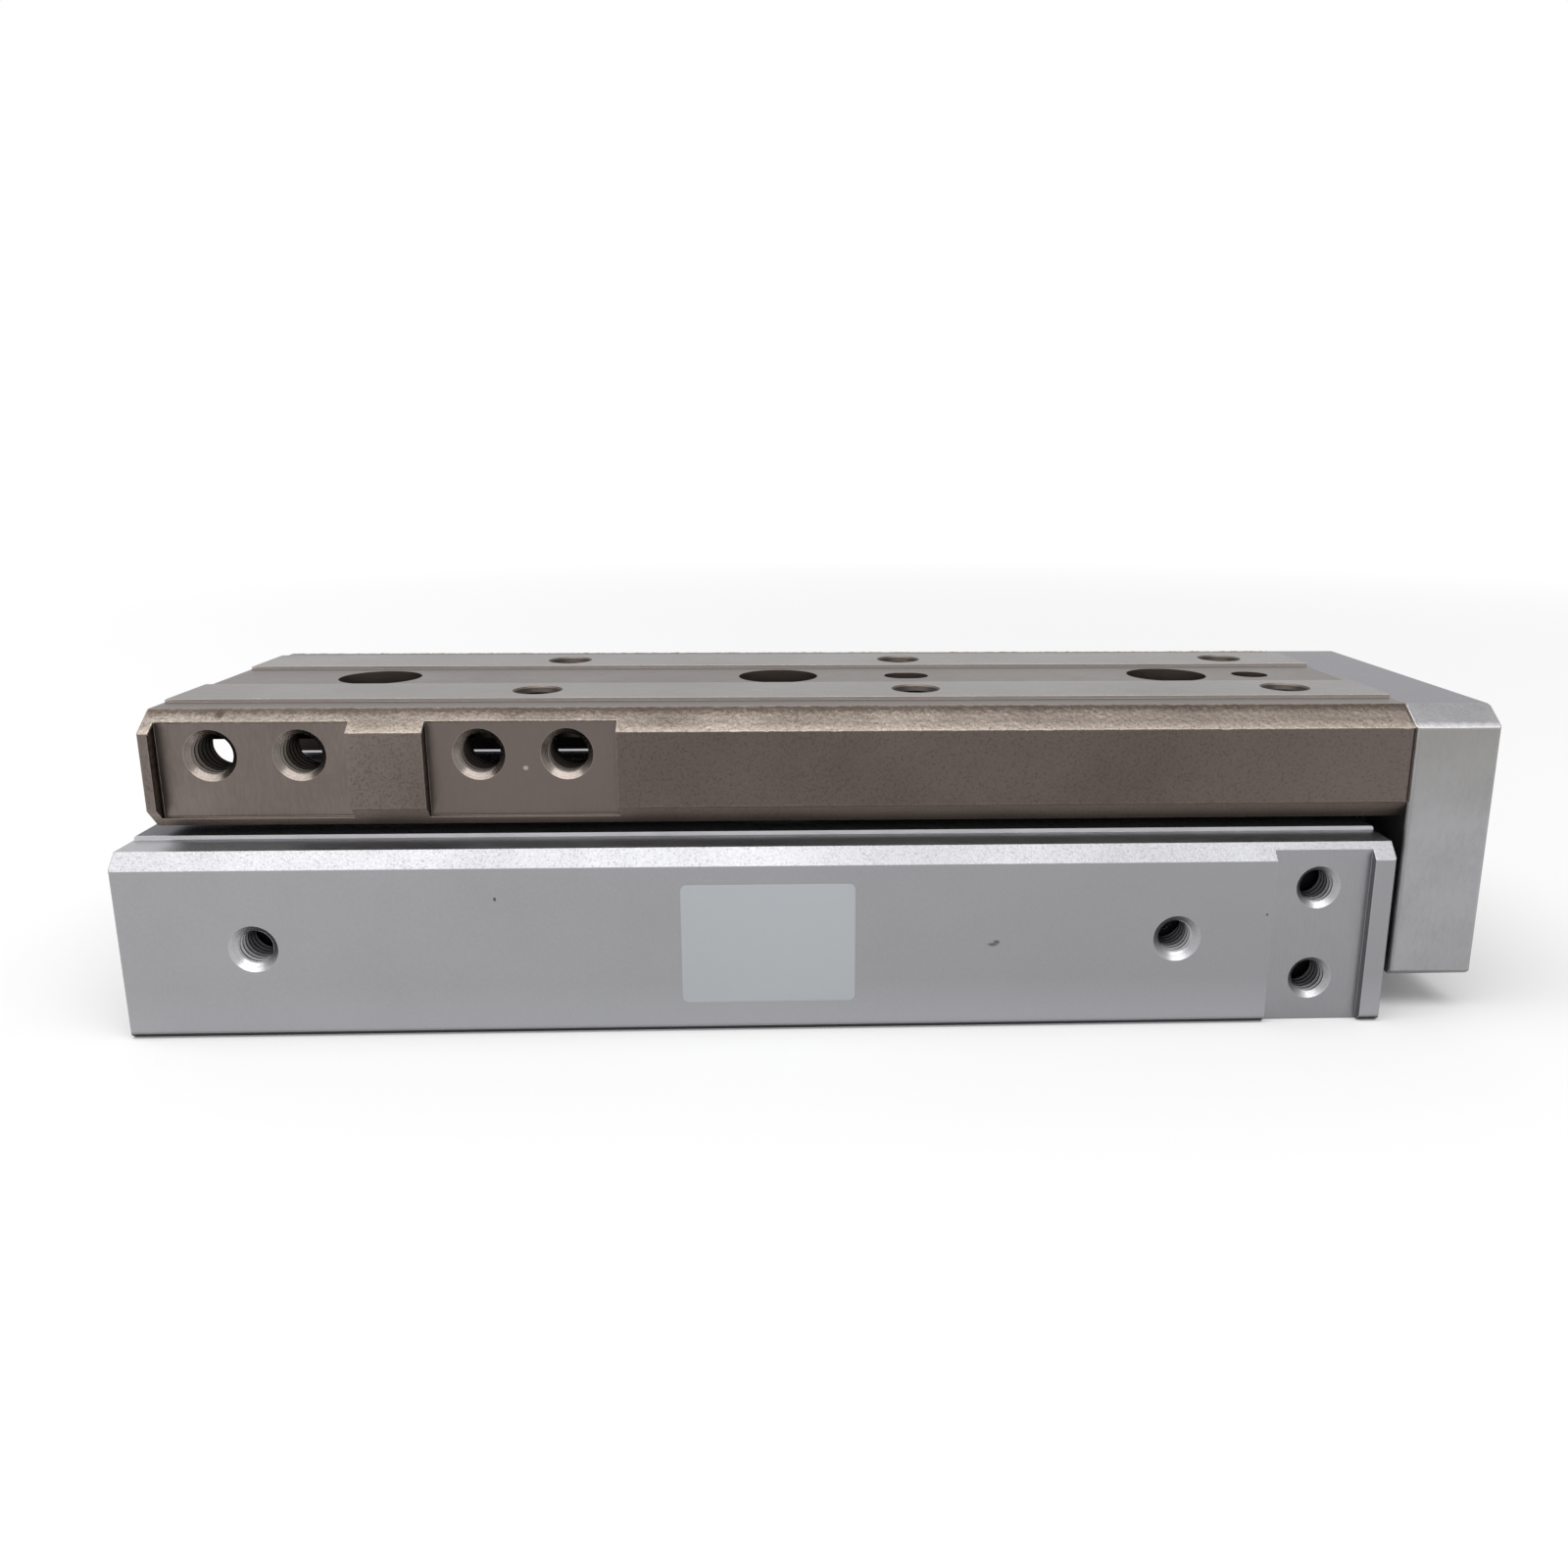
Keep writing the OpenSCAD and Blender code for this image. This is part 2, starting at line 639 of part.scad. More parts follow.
module rear_bumpers() {
    edge = 0.4;
    color(urethane) in_frame() on_both_bores()
        turned([[0, cap_nose_x - bumper_stem_l], [bumper_stem_r, cap_nose_x - bumper_stem_l],
                [bumper_stem_r, cap_nose_x], [rear_bumper_r, cap_nose_x],
                [rear_bumper_r, rear_stop_x - edge], [rear_bumper_r - edge, rear_stop_x],
                [0, rear_stop_x]]);
}

// ---- Front end of the cylinders ----

module rod_cover(side) {
    inner_r = rod_r + rod_clear;
    groove_r = cover_seat_r - o_seat - o_ring_d;
    groove_x = cover_seat_x + cover_l * 0.35;
    nose_r = cover_nose_d / 2;
    color(anodised) in_frame() on_bore(side)
        turned([[inner_r, cover_nose_x], [nose_r, cover_nose_x], [nose_r, cover_seat_x],
                [cover_r, cover_seat_x], [cover_r, groove_x - o_groove_w / 2],
                [groove_r, groove_x - o_groove_w / 2], [groove_r, groove_x + o_groove_w / 2],
                [cover_r, groove_x + o_groove_w / 2], [cover_r, cover_x - 0.4],
                [cover_r - 0.4, cover_x], [inner_r + 0.4, cover_x], [inner_r, cover_x - 0.4],
                [inner_r, gland_x + rod_seal_l], [rod_seal_r, gland_x + rod_seal_l],
                [rod_seal_r, gland_x], [inner_r, gland_x]]);
}

module rod_cover_o_rings() {
    ring_r = cover_seat_r - o_seat - o_ring_r;
    color(nitrile) in_frame() on_both_bores() translate([cover_seat_x + cover_l * 0.35, 0, 0])
        rotate([0, 90, 0]) rotate_extrude() translate([ring_r, 0]) circle(r = o_ring_r - 0.01);
}

module rod_cover_snap_rings() {
    color(black_oxide) in_frame() on_both_bores()
        translate([cover_x, 0, 0]) snap_ring(cover_seat_r);
}

// Lip seal: the lip points back into the cylinder
module rod_seals() {
    lip_r = rod_r + rod_clear / 2;
    heel_r = rod_r + 0.35;
    outer_r = rod_seal_r - 0.05;
    x0 = gland_x + 0.1;
    x1 = gland_x + rod_seal_l - 0.1;
    color(nitrile) in_frame() on_both_bores()
        turned([[lip_r, x0 + 0.2], [lip_r + 0.5, x0], [(lip_r + outer_r) / 2, x0 + 1.1],
                [outer_r - 0.4, x0], [outer_r, x0 + 0.3], [outer_r, x1], [heel_r, x1],
                [heel_r, x0 + 1.4], [lip_r, x0 + 0.7]]);
}

module front_bumpers() {
    inner_r = rod_r + 0.5;
    edge = 0.4;
    color(urethane) in_frame() on_both_bores()
        turned([[inner_r, front_stop_x], [bumper_r - edge, front_stop_x],
                [bumper_r, front_stop_x + edge], [bumper_r, cover_nose_x], [inner_r, cover_nose_x]]);
}

// ---- Pistons and rods ----

// Rod, its stem through the piston, and the thread for the rod end screw
module piston_rod(side) {
    color(bright_steel) in_frame() on_bore(side) difference() {
        turned([[0, piston_x + 0.3], [stem_r - 0.4, piston_x + 0.3], [stem_r, piston_x + 0.7],
                [stem_r, rod_x], [rod_r, rod_x], [rod_r, plate_x - 0.4],
                [rod_r - 0.4, plate_x], [0, plate_x]]);
        bar_x(m5_d / 2, plate_x - rod_thread_l, plate_x + cut);
    }
}

module piston_crown(side) {
    r = bore_r - piston_clear;
    groove_r = r - piston_seal_depth;
    groove_w = piston_seal_w + 2 * seal_play;
    groove_x = piston_seal_x;
    bore = stem_r + stem_clear;
    color(anodised) in_frame() on_bore(side)
        turned([[bore, crown_x], [r, crown_x], [r, groove_x - groove_w / 2],
                [groove_r, groove_x - groove_w / 2], [groove_r, groove_x + groove_w / 2],
                [r, groove_x + groove_w / 2], [r, rod_x - 0.8], [r - 0.8, rod_x], [bore, rod_x]]);
}

// Rear collar, with the groove of the wear ring and the pocket of the nut
module piston_collars() {
    r = bore_r - piston_clear;
    groove_x = piston_x + collar_l / 2;
    groove_w = wear_ring_w + seal_play;
    groove_r = r - wear_ring_t;
    bore = stem_r + stem_clear;
    pocket_r = nut_af / 2 / cos(30) + 0.3;
    pocket_x = piston_x + nut_t + 0.3;
    color(anodised) in_frame() on_both_bores()
        turned([[pocket_r, piston_x], [r - 0.6, piston_x], [r, piston_x + 0.6],
                [r, groove_x - groove_w / 2], [groove_r, groove_x - groove_w / 2],
                [groove_r, groove_x + groove_w / 2], [r, groove_x + groove_w / 2], [r, magnet_x],
                [bore, magnet_x], [bore, pocket_x], [pocket_r, pocket_x]]);
}

module piston_magnets() {
    r = bore_r - piston_clear - 0.4;
    bore = stem_r + stem_clear;
    color(black_oxide) in_frame() on_both_bores()
        turned([[bore, magnet_x], [r, magnet_x], [r, crown_x], [bore, crown_x]]);
}

// Two-lipped ring seal in the crown's groove
module piston_seals() {
    outer_r = bore_r - piston_clear / 2;
    inner_r = bore_r - piston_clear - piston_seal_depth + seal_play / 2;
    half = piston_seal_w / 2;
    lip = half * 0.5;
    x = piston_seal_x;
    color(nitrile) in_frame() on_both_bores()
        turned([[inner_r, x - half], [outer_r - 0.4, x - half], [outer_r, x - half + 0.4],
                [outer_r, x - lip], [outer_r - 0.5, x], [outer_r, x + lip],
                [outer_r, x + half - 0.4], [outer_r - 0.4, x + half], [inner_r, x + half]]);
}

module wear_rings() {
    outer_r = bore_r - piston_clear * 0.6;
    inner_r = bore_r - piston_clear - wear_ring_t + seal_play / 2;
    x0 = piston_x + (collar_l - wear_ring_w) / 2;
    x1 = x0 + wear_ring_w;
    color(resin) in_frame() on_both_bores()
        turned([[inner_r, x0], [outer_r, x0], [outer_r, x1], [inner_r, x1]]);
}

module piston_nuts() {
    color(steel) in_frame() on_both_bores() translate([piston_x + 0.3, 0, 0])
        rotate([0, 90, 0]) difference() {
            cylinder(d = nut_af / cos(30), h = nut_t, $fn = 6);
            translate([0, 0, -cut]) cylinder(r = stem_r + stem_clear, h = nut_t + 2 * cut);
        }
}

// ---- Ball guide ----

// Outline of the guide block, smaller all round by inset
function block_outline(inset) = mirrored([
    [foot_half_w - inset, body_h], [foot_half_w - inset, body_h + foot_h],
    [block_half_w - inset, body_h + foot_h + block_chamfer],
    [block_half_w - inset, block_top_z - inset - block_chamfer],
    [block_half_w - inset - block_chamfer, block_top_z - inset]]);

module guide_block() {
    color(steel) in_frame() difference() {
        drawn_x(block_outline(0), block_x, block_end_x);
        for (side = sides) {
            translate([0, side * race_y, race_z]) bar_x(race_r, block_x - cut, block_end_x + cut);
            translate([0, side * return_y, race_z])
                bar_x(return_r, block_x - cut, block_end_x + cut);
            translate([0, side * guide_screw_y, guide_screw_z]) {
                bar_x(m2_r, block_x - cut, block_x + m2_depth);
                bar_x(m2_r, block_end_x - m2_depth, block_end_x + cut);
            }
            for (x = block_screw_xs) translate([x, side * block_screw_y, 0]) {
                translate([0, 0, body_h - cut]) cylinder(r = m4_clear_r, h = overall_h);
                translate([0, 0, block_recess_z]) cylinder(r = block_recess_r, h = overall_h);
            }
        }
        translate([mount_front_x, 0, body_h - cut]) cylinder(d = access_d, h = overall_h);
    }
}

module guide_block_screws() {
    color(black_oxide) in_frame() for (x = block_screw_xs, side = sides)
        translate([x, side * block_screw_y, block_recess_z])
            socket_screw(m4_r - thread_clear, m4_l, m4_head_d, m4_head_h, 3);
}

// Resin end of the guide: it turns the balls round into their return bores.
// Drawn forwards from x = 0, the face that meets the block
module return_guide() {
    difference() {
        drawn_x(block_outline(0.15), 0, return_guide_l);
        for (side = sides) {
            translate([0, side * turn_y, race_z]) rotate_extrude()
                translate([turn_r, 0]) circle(r = return_r);
            translate([0, side * guide_screw_y, guide_screw_z])
                bar_x(m2_clear_r, -cut, return_guide_l + cut);
        }
        translate([-cut, -guide_screw_y / 2, body_h - cut])
            cube([return_guide_l + 2 * cut, guide_screw_y, 1.5 + cut]);
    }
}

// Wiper plate: it follows the channel's walls and reaches into both races.
// Drawn forwards from x = 0
module scraper() {
    half_w = channel_half_w - scraper_gap;
    top_z = ceiling_z - scraper_gap;
    half = [[foot_half_w, body_h + 0.2], [foot_half_w, body_h + foot_h],
            [half_w, body_h + foot_h + block_chamfer],
            [half_w, top_z - channel_chamfer], [half_w - channel_chamfer, top_z]];
    difference() {
        union() {
            drawn_x(mirrored(half), 0, scraper_t);
            for (side = sides) translate([0, side * race_y, race_z])
                bar_x(race_r - scraper_gap, 0, scraper_t);
        }
        for (side = sides) translate([0, side * guide_screw_y, guide_screw_z])
            bar_x(m2_clear_r, -cut, scraper_t + cut);
    }
}

// A screw that holds a scraper and a return guide to the block.
// Its head lies on x = 0 and its shank runs backwards
module guide_screw() {
    shank = scraper_t + return_guide_l + m2_depth - 0.5;
    turned([[0, -shank], [m2_r - thread_clear, -shank], [m2_r - thread_clear, 0],
            [m2_head_r, 0], [m2_head_r, m2_head_h * 0.6], [m2_head_r * 0.6, m2_head_h],
            [0, m2_head_h]]);
}

module return_guide_rear() {
    color(resin) in_frame() translate([block_x, 0, 0]) mirror([1, 0, 0]) return_guide();
}

module return_guide_front() {
    color(resin) in_frame() translate([block_end_x, 0, 0]) return_guide();
}

module scraper_rear() {
    color(nitrile) in_frame() translate([block_x - return_guide_l, 0, 0])
        mirror([1, 0, 0]) scraper();
}

module scraper_front() {
    color(nitrile) in_frame() translate([block_end_x + return_guide_l, 0, 0]) scraper();
}

module return_guide_screws() {
    reach = return_guide_l + scraper_t;
    color(steel) in_frame() for (side = sides)
        translate([0, side * guide_screw_y, guide_screw_z]) {
            translate([block_end_x + reach, 0, 0]) guide_screw();
            translate([block_x - reach, 0, 0]) mirror([1, 0, 0]) guide_screw();
        }
}

// Place [x, y] on one ball loop, s along it from the block's rear end:
// forwards in the race, round, back in the return bore, and round again
function on_loop(s) =
    let (turn_l = PI * turn_r)
    s < block_l ? [block_x + s, race_y]
    : s < block_l + turn_l
        ? let (a = (s - block_l) / turn_r * 180 / PI)
          [block_end_x + turn_r * sin(a), turn_y + turn_r * cos(a)]
    : s < 2 * block_l + turn_l ? [block_end_x - (s - block_l - turn_l), return_y]
    : let (a = (s - 2 * block_l - turn_l) / turn_r * 180 / PI)
      [block_x - turn_r * sin(a), turn_y - turn_r * cos(a)];

module ball_circuit(side) {
    color(bright_steel) in_frame() for (i = [0 : ball_count - 1]) {
        p = on_loop(i * loop_l / ball_count);
        translate([p[0], side * p[1], race_z]) sphere(r = ball_r);
    }
}

// ---- Table ----

module table_blank() {
    half = [[channel_half_w, table_z], [table_half_w - foot_chamfer_w, table_z],
            [table_half_w, table_z + foot_chamfer_h],
            [table_half_w, table_top_z - top_chamfer_h],
            [table_half_w - top_chamfer_w, table_top_z], [land_outer, table_top_z],
            [land_outer, overall_h], [land_inner, overall_h], [land_inner, table_top_z]];
    channel = [[channel_half_w, table_z - cut], [channel_half_w, ceiling_z - channel_chamfer],
               [channel_half_w - channel_chamfer, ceiling_z]];
    intersection() {
        difference() {
            drawn_x(mirrored(half), table_setback, plate_x);
            drawn_x(mirrored(channel), table_setback - cut, plate_x + cut);
        }
        end_chamfers(table_setback, plate_x + table_end_chamfer, table_half_w, table_z,
                     overall_h, table_end_chamfer);
    }
}

// One machined pad on the right side of the table
module table_pad_cut(x) {
    translate([x, -table_half_w - cut, table_pad_z])
        cube([table_pad_l, table_pad_depth + cut, table_pad_h]);
}

module slide_table() {
    pad_y = table_pad_depth - table_half_w;
    wall = table_half_w - channel_half_w;
    color(nickel) in_frame() difference() {
        table_blank();
        table_pad_cut(table_setback + table_pad_rim);
        table_pad_cut(side_pair_xs[1] - table_pad_l / 2);
        for (side = sides) translate([0, side * race_y, race_z])
            bar_x(race_r, table_setback - cut, plate_x + cut);
        for (i = [0 : top_hole_count - 1], side = sides)
            translate([top_hole_front_x - i * top_hole_pitch, side * top_hole_rows / 2, overall_h])
                tapped_hole(m6_d, roof_t + cut, thread_mouth);
        for (x = mount_xs) translate([x, 0, ceiling_z - cut])
            cylinder(d = access_d, h = roof_t + 2 * cut);
        translate([top_hole_front_x, 0, ceiling_z - cut])
            cylinder(d = table_locate_d, h = roof_t + 2 * cut);
        translate([top_hole_front_x - top_hole_pitch, 0, table_top_z])
            slot_hole(table_locate_d, table_slot_l, roof_t);
        for (x = side_pair_xs, s = sides)
            translate([x + s * side_hole_pitch / 2, pad_y, side_hole_z])
                rotate([90, 0, 0]) tapped_hole(m6_d, wall - table_pad_depth + cut, thread_mouth);
        for (side = sides) translate([0, side * plate_screw_y, plate_screw_z])
            bar_x(m5_d / 2, plate_recess_x - plate_screw_l - tip_play, plate_x + cut);
    }
}

module end_plate() {
    half = [[table_half_w - plate_foot_chamfer, plate_z],
            [table_half_w, plate_z + plate_foot_chamfer],
            [table_half_w, table_top_z - top_chamfer_h],
            [table_half_w - top_chamfer_w, table_top_z]];
    front_x = plate_x + plate_t;
    color(anodised) in_frame() difference() {
        intersection() {
            drawn_x(mirrored(half), plate_x, front_x);
            end_chamfers(plate_x, front_x, table_half_w, plate_z, table_top_z, plate_chamfer);
        }
        on_both_bores() {
            bar_x(bush_r + bush_clear, plate_x - cut, front_x + cut);
            bar_x(rod_recess_r, front_x - rod_recess_depth, front_x + cut);
        }
        for (side = sides) translate([0, side * plate_screw_y, plate_screw_z]) {
            bar_x(m5_d / 2 + 0.25, plate_x - cut, front_x + cut);
            bar_x(plate_recess_r, plate_recess_x, front_x + cut);
        }
        for (i = [0, 1], side = sides)
            translate([front_x, side * plate_hole_pitch_y / 2, plate_hole_z + i * plate_hole_pitch_z])
                rotate([0, 90, 0]) tapped_hole(m6_d, plate_t + cut, thread_mouth);
    }
}

module end_plate_screws() {
    color(black_oxide) in_frame() for (side = sides)
        translate([plate_recess_x, side * plate_screw_y, plate_screw_z]) rotate([0, 90, 0])
            socket_screw(m5_d / 2 - thread_clear, plate_screw_l, m5_head_d, m5_head_h, 4);
}

// Bushes that let the rods find their own line in the end plate
module floating_bushes() {
    inner_r = m5_d / 2 + 0.4;
    color(brass_colour) in_frame() on_both_bores()
        turned([[inner_r, plate_x], [bush_r, plate_x], [bush_r, plate_x + bush_l],
                [inner_r, plate_x + bush_l]]);
}

module rod_end_washers() {
    inner_r = m5_d / 2 + 0.4;
    x = plate_x + bush_l;
    color(steel) in_frame() on_both_bores()
        turned([[inner_r, x], [washer_r, x], [washer_r, x + washer_t], [inner_r, x + washer_t]]);
}

module rod_end_screws() {
    x = plate_x + bush_l + washer_t;
    l = x - plate_x + rod_thread_l - 2;
    color(black_oxide) in_frame() on_both_bores() translate([x, 0, 0]) rotate([0, 90, 0])
        socket_screw(m5_d / 2 - thread_clear, l, m5_head_d, rod_screw_head_h, 3);
}

cylinder_body();
head_cap(left);  // head_cap_left
head_cap(right);  // head_cap_right
head_cap_o_rings();
head_cap_snap_rings();
rear_bumpers();
rod_cover(left);  // rod_cover_left
rod_cover(right);  // rod_cover_right
rod_cover_o_rings();
rod_cover_snap_rings();
rod_seals();
front_bumpers();
guide_block();
guide_block_screws();
return_guide_rear();
return_guide_front();
scraper_rear();
scraper_front();
return_guide_screws();
ball_circuit(left);  // ball_circuit_left
ball_circuit(right);  // ball_circuit_right
slide_table();
end_plate();
end_plate_screws();
piston_rod(left);  // piston_rod_left
piston_rod(right);  // piston_rod_right
piston_crown(left);  // piston_crown_left
piston_crown(right);  // piston_crown_right
piston_collars();
piston_magnets();
piston_seals();
wear_rings();
piston_nuts();
floating_bushes();
rod_end_washers();
rod_end_screws();
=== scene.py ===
"""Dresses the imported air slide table: finishes, threads, the bare label and a plain studio.

Every length is in millimetres, unless it says otherwise, and MM turns it to metres.
"""

import logging
import math
from contextlib import contextmanager
from dataclasses import dataclass, replace
from enum import Enum
from functools import cache
from typing import Callable, Iterable, Iterator, Sequence

import bmesh
import bpy
from bpy.types import Material, Node, NodeSocket, NodeTree, Object, World
from mathutils import Matrix, Vector


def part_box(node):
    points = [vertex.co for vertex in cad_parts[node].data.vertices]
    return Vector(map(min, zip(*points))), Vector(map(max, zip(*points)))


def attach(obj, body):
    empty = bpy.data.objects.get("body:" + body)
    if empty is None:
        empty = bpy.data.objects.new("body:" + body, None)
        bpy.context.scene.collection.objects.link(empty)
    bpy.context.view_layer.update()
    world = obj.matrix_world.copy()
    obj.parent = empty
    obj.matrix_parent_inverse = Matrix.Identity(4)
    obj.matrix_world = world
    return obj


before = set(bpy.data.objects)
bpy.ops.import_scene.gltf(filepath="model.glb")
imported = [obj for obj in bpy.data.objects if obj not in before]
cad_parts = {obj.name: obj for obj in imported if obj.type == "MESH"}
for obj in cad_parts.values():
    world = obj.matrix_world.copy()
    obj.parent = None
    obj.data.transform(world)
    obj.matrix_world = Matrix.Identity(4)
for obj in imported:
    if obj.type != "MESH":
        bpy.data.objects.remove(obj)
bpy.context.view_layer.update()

log = logging.getLogger("slide_table")

MM = 0.001
NEAR = 0.01  # places this close count as the same, in mm
SQUARE = 0.9  # a normal's least share along an axis, for a face that is square to it
SLOPE = 0.3  # a normal's least share up and across, for a face that slopes
FRONT, REAR, LEFT, UP, DOWN = (1, 0, 0), (-1, 0, 0), (0, 1, 0), (0, 0, 1), (0, 0, -1)
Triple = tuple[float, float, float]
Pair = tuple[float, float]
Input = float | tuple | str | Node | NodeSocket


class Carrier(Enum):
    """The CAD bodies that a piece can ride on."""

    HOUSING = "housing"
    TABLE = "table"


class Slot(Enum):
    """The record's material slots."""

    BODY = "anodised_body"
    PLATE = "anodised_plate"
    CASTING = "nickel_casting"
    FILM = "resin"


# ---- Small tools for meshes ----


def deselect_all() -> None:
    """Leaves edit mode and clears the selection."""
    if bpy.context.object and bpy.context.object.mode != "OBJECT":
        bpy.ops.object.mode_set(mode="OBJECT")
    bpy.ops.object.select_all(action="DESELECT")


def make_active(piece: Object) -> None:
    """Selects one object alone and makes it the active one.

    Args:
        piece: The object.
    """
    deselect_all()
    piece.select_set(True)
    bpy.context.view_layer.objects.active = piece


@contextmanager
def editing(piece: Object, mode: str) -> Iterator[bmesh.types.BMesh]:
    """Opens edit mode on one object, with nothing selected.

    Args:
        piece: The mesh object to edit.
        mode: The select mode: VERT, EDGE or FACE.

    Yields:
        The edit mesh.
    """
    make_active(piece)
    bpy.ops.object.mode_set(mode="EDIT")
    bpy.ops.mesh.select_mode(type=mode)
    bpy.ops.mesh.select_all(action="DESELECT")
    yield bmesh.from_edit_mesh(piece.data)
    bpy.ops.object.mode_set(mode="OBJECT")


def choose(
    mesh: bmesh.types.BMesh, parts: Iterable, wanted: Callable[[Vector, Vector], bool]
) -> None:
    """Selects the parts of an edit mesh that pass a test.

    Args:
        mesh: The edit mesh.
        parts: Its verts, its edges or its faces.
        wanted: The test, given a part's middle and its normal, or an edge's direction.
    """
    for part in parts:
        ends = [v.co for v in getattr(part, "verts", [part])]
        edge = isinstance(part, bmesh.types.BMEdge)
        normal = (ends[0] - ends[1]).normalized() if edge else part.normal
        if wanted(sum(ends, Vector()) / len(ends), normal):
            part.select_set(True)
    mesh.select_flush_mode()


def apply_modifier(piece: Object, kind: str, **settings: object) -> None:
    """Adds one modifier to an object and applies it.

    Args:
        piece: The object that is changed.
        kind: The modifier's type.
        settings: The modifier's properties.
    """
    modifier = piece.modifiers.new(kind.lower(), kind)
    for name, value in settings.items():
        setattr(modifier, name, value)
    make_active(piece)
    bpy.ops.object.modifier_apply(modifier=modifier.name)


def combine(piece: Object, tool: Object, operation: str) -> None:
    """Cuts a piece with a tool object by a boolean operation and removes the tool."""
    apply_modifier(piece, "BOOLEAN", operation=operation, object=tool, solver="EXACT")
    bpy.data.objects.remove(tool)


def stretch(name: str, scale: Triple) -> Object:
    """Names and stretches the object that was just added, and keeps that in its mesh.

    Args:
        name: Its name.
        scale: How much it's stretched along each axis.

    Returns:
        The object, at the origin.
    """
    piece = bpy.context.object
    piece.name = piece.data.name = name
    piece.scale = scale
    bpy.ops.object.transform_apply(location=True, rotation=True, scale=True)
    return piece


def place(piece: Object, matrix: Matrix) -> None:
    """Moves a mesh and leaves its object at the origin.

    Args:
        piece: The mesh object.
        matrix: Where it goes.
    """
    make_active(piece)
    piece.matrix_world = matrix
    bpy.ops.object.transform_apply(location=True, rotation=True, scale=True)


def repeat(model: Object, matrices: list[Matrix], name: str) -> Object:
    """Copies a model to several places, joins the copies and removes the model.

    Args:
        model: The modelled piece, at the origin.
        matrices: Where each copy goes.
        name: The joined object's name.

    Returns:
        The joined object, at the origin.
    """
    copies = []
    for matrix in matrices:
        copy = model.copy()
        copy.data = model.data.copy()
        bpy.context.scene.collection.objects.link(copy)
        place(copy, matrix)
        copies.append(copy)
    bpy.data.objects.remove(model)
    joined = copies[0]
    make_active(joined)
    for copy in copies:
        copy.select_set(True)
    bpy.ops.object.join()
    joined.name = joined.data.name = name
    return joined


def smooth(piece: Object, degrees: float) -> None:
    """Shades a piece smooth, except across edges sharper than an angle."""
    make_active(piece)
    bpy.ops.object.shade_smooth_by_angle(angle=math.radians(degrees))


def sloping(normal: Vector) -> bool:
    """Tells whether a face slopes up and out, as a shoulder or a chamfer does."""
    return normal.z > SLOPE and abs(normal.y) > SLOPE


# ---- Small tools for materials ----


def linear(colour: str) -> tuple[float, ...]:
    """Turns an sRGB hex colour into a linear one with full alpha."""
    parts = (int(colour[i : i + 2], 16) / 255 for i in (1, 3, 5))
    return (*(c / 12.92 if c <= 0.04045 else ((c + 0.055) / 1.055) ** 2.4 for c in parts), 1.0)


def emptied(owner: Material | World) -> NodeTree:
    """Switches a material or a world to nodes and empties its tree.

    Args:
        owner: The material or the world.

    Returns:
        Its empty tree.
    """
    owner.use_nodes = True
    owner.node_tree.nodes.clear()
    return owner.node_tree


def add_node(
    tree: NodeTree, kind: str, inputs: dict[str | int, Input] | Sequence[Input] = (),
    **settings: object,
) -> Node:
    """Adds a node with its settings, its values and its links.

    Args:
        tree: The node tree that takes it.
        kind: The node's type without "ShaderNode".
        inputs: Its sockets' values, in order or by name; sockets and nodes are linked.
        settings: The node's own properties.

    Returns:
        The new node.
    """
    node = tree.nodes.new("ShaderNode" + kind)
    for name, value in settings.items():
        setattr(node, name, value)
    for name, value in inputs.items() if isinstance(inputs, dict) else enumerate(inputs):
        if isinstance(value, (Node, NodeSocket)):
            tree.links.new(getattr(value, "outputs", [value])[0], node.inputs[name])
        else:
            node.inputs[name].default_value = linear(value) if isinstance(value, str) else value
    return node


@dataclass(frozen=True)
class Mark:
    """A small mark on a surface: a pit, a scuff or a stain."""

    middle: Triple  # where it is
    reach: Triple  # its half size along each axis
    strength: float = 1.0  # how strongly it shows


@dataclass(frozen=True)
class Fade:
    """A gradual change of colour along one direction; most fades here paint light and shade, such
    as a shadow along a joint.
    """

    along: Triple
    start: float  # where it sets in
    end: float  # where it is complete
    colour: str
    strength: float = 1.0  # how strongly it shows at its end
    fray: float = 0.0  # how far the lumps shift it


@dataclass(frozen=True)
class Surface:
    """A finish: what the eye gets from one material and the way it was worked."""

    name: str
    colour: str
    tone: str  # the colour of its patches
    metallic: float = 1.0  # 1 for a metal, or 0
    roughness: float = 0.42
    spread: float = 0.08  # how far the roughness varies
    grain: float = 0.3  # size of its fine grain
    grain_height: float = 0.003  # height of that grain
    run: Triple = (1, 1, 1)  # how far the grain is drawn out
    lump: float = 1.2  # size of its coarse lumps
    lump_height: float = 0.0  # height of those lumps
    patch: float = 25.0  # size of its colour patches
    patchy: float = 0.6  # how strongly the tone shows
    edge: float = 0.1  # radius that its edges are rounded to
    edge_colour: str = "#D8D8DA"
    edge_lightening: float = 0.35  # how strongly the edges are lightened: partly rubbed wear, partly a painted highlight
    pit: float = 0.5  # size of its small dark pits
    pits: float = 0.0  # how strongly the pits show
    pit_colour: str = "#2E2825"
    fades: tuple[Fade, ...] = ()
    marks: tuple[Mark, ...] = ()
    mark_colour: str = "#2A2522"
    glancing: str = "#DADADA"  # a metal's colour at a glancing angle
    coat: float = 0.0  # weight of a clear coat on it
    sheen: float = 0.0  # weight of a soft sheen on it

    @cache
    def material(self) -> Material:
        """Builds the finish as a node material, the first time it's asked for.

        Returns:
            The material.
        """
        made = bpy.data.materials.new(self.name)
        tree = emptied(made)
        shader = Paint(self, tree).shader()
        add_node(tree, "OutputMaterial", {"Surface": shader})
        log.info("material %s: %d nodes", self.name, len(tree.nodes))
        return made


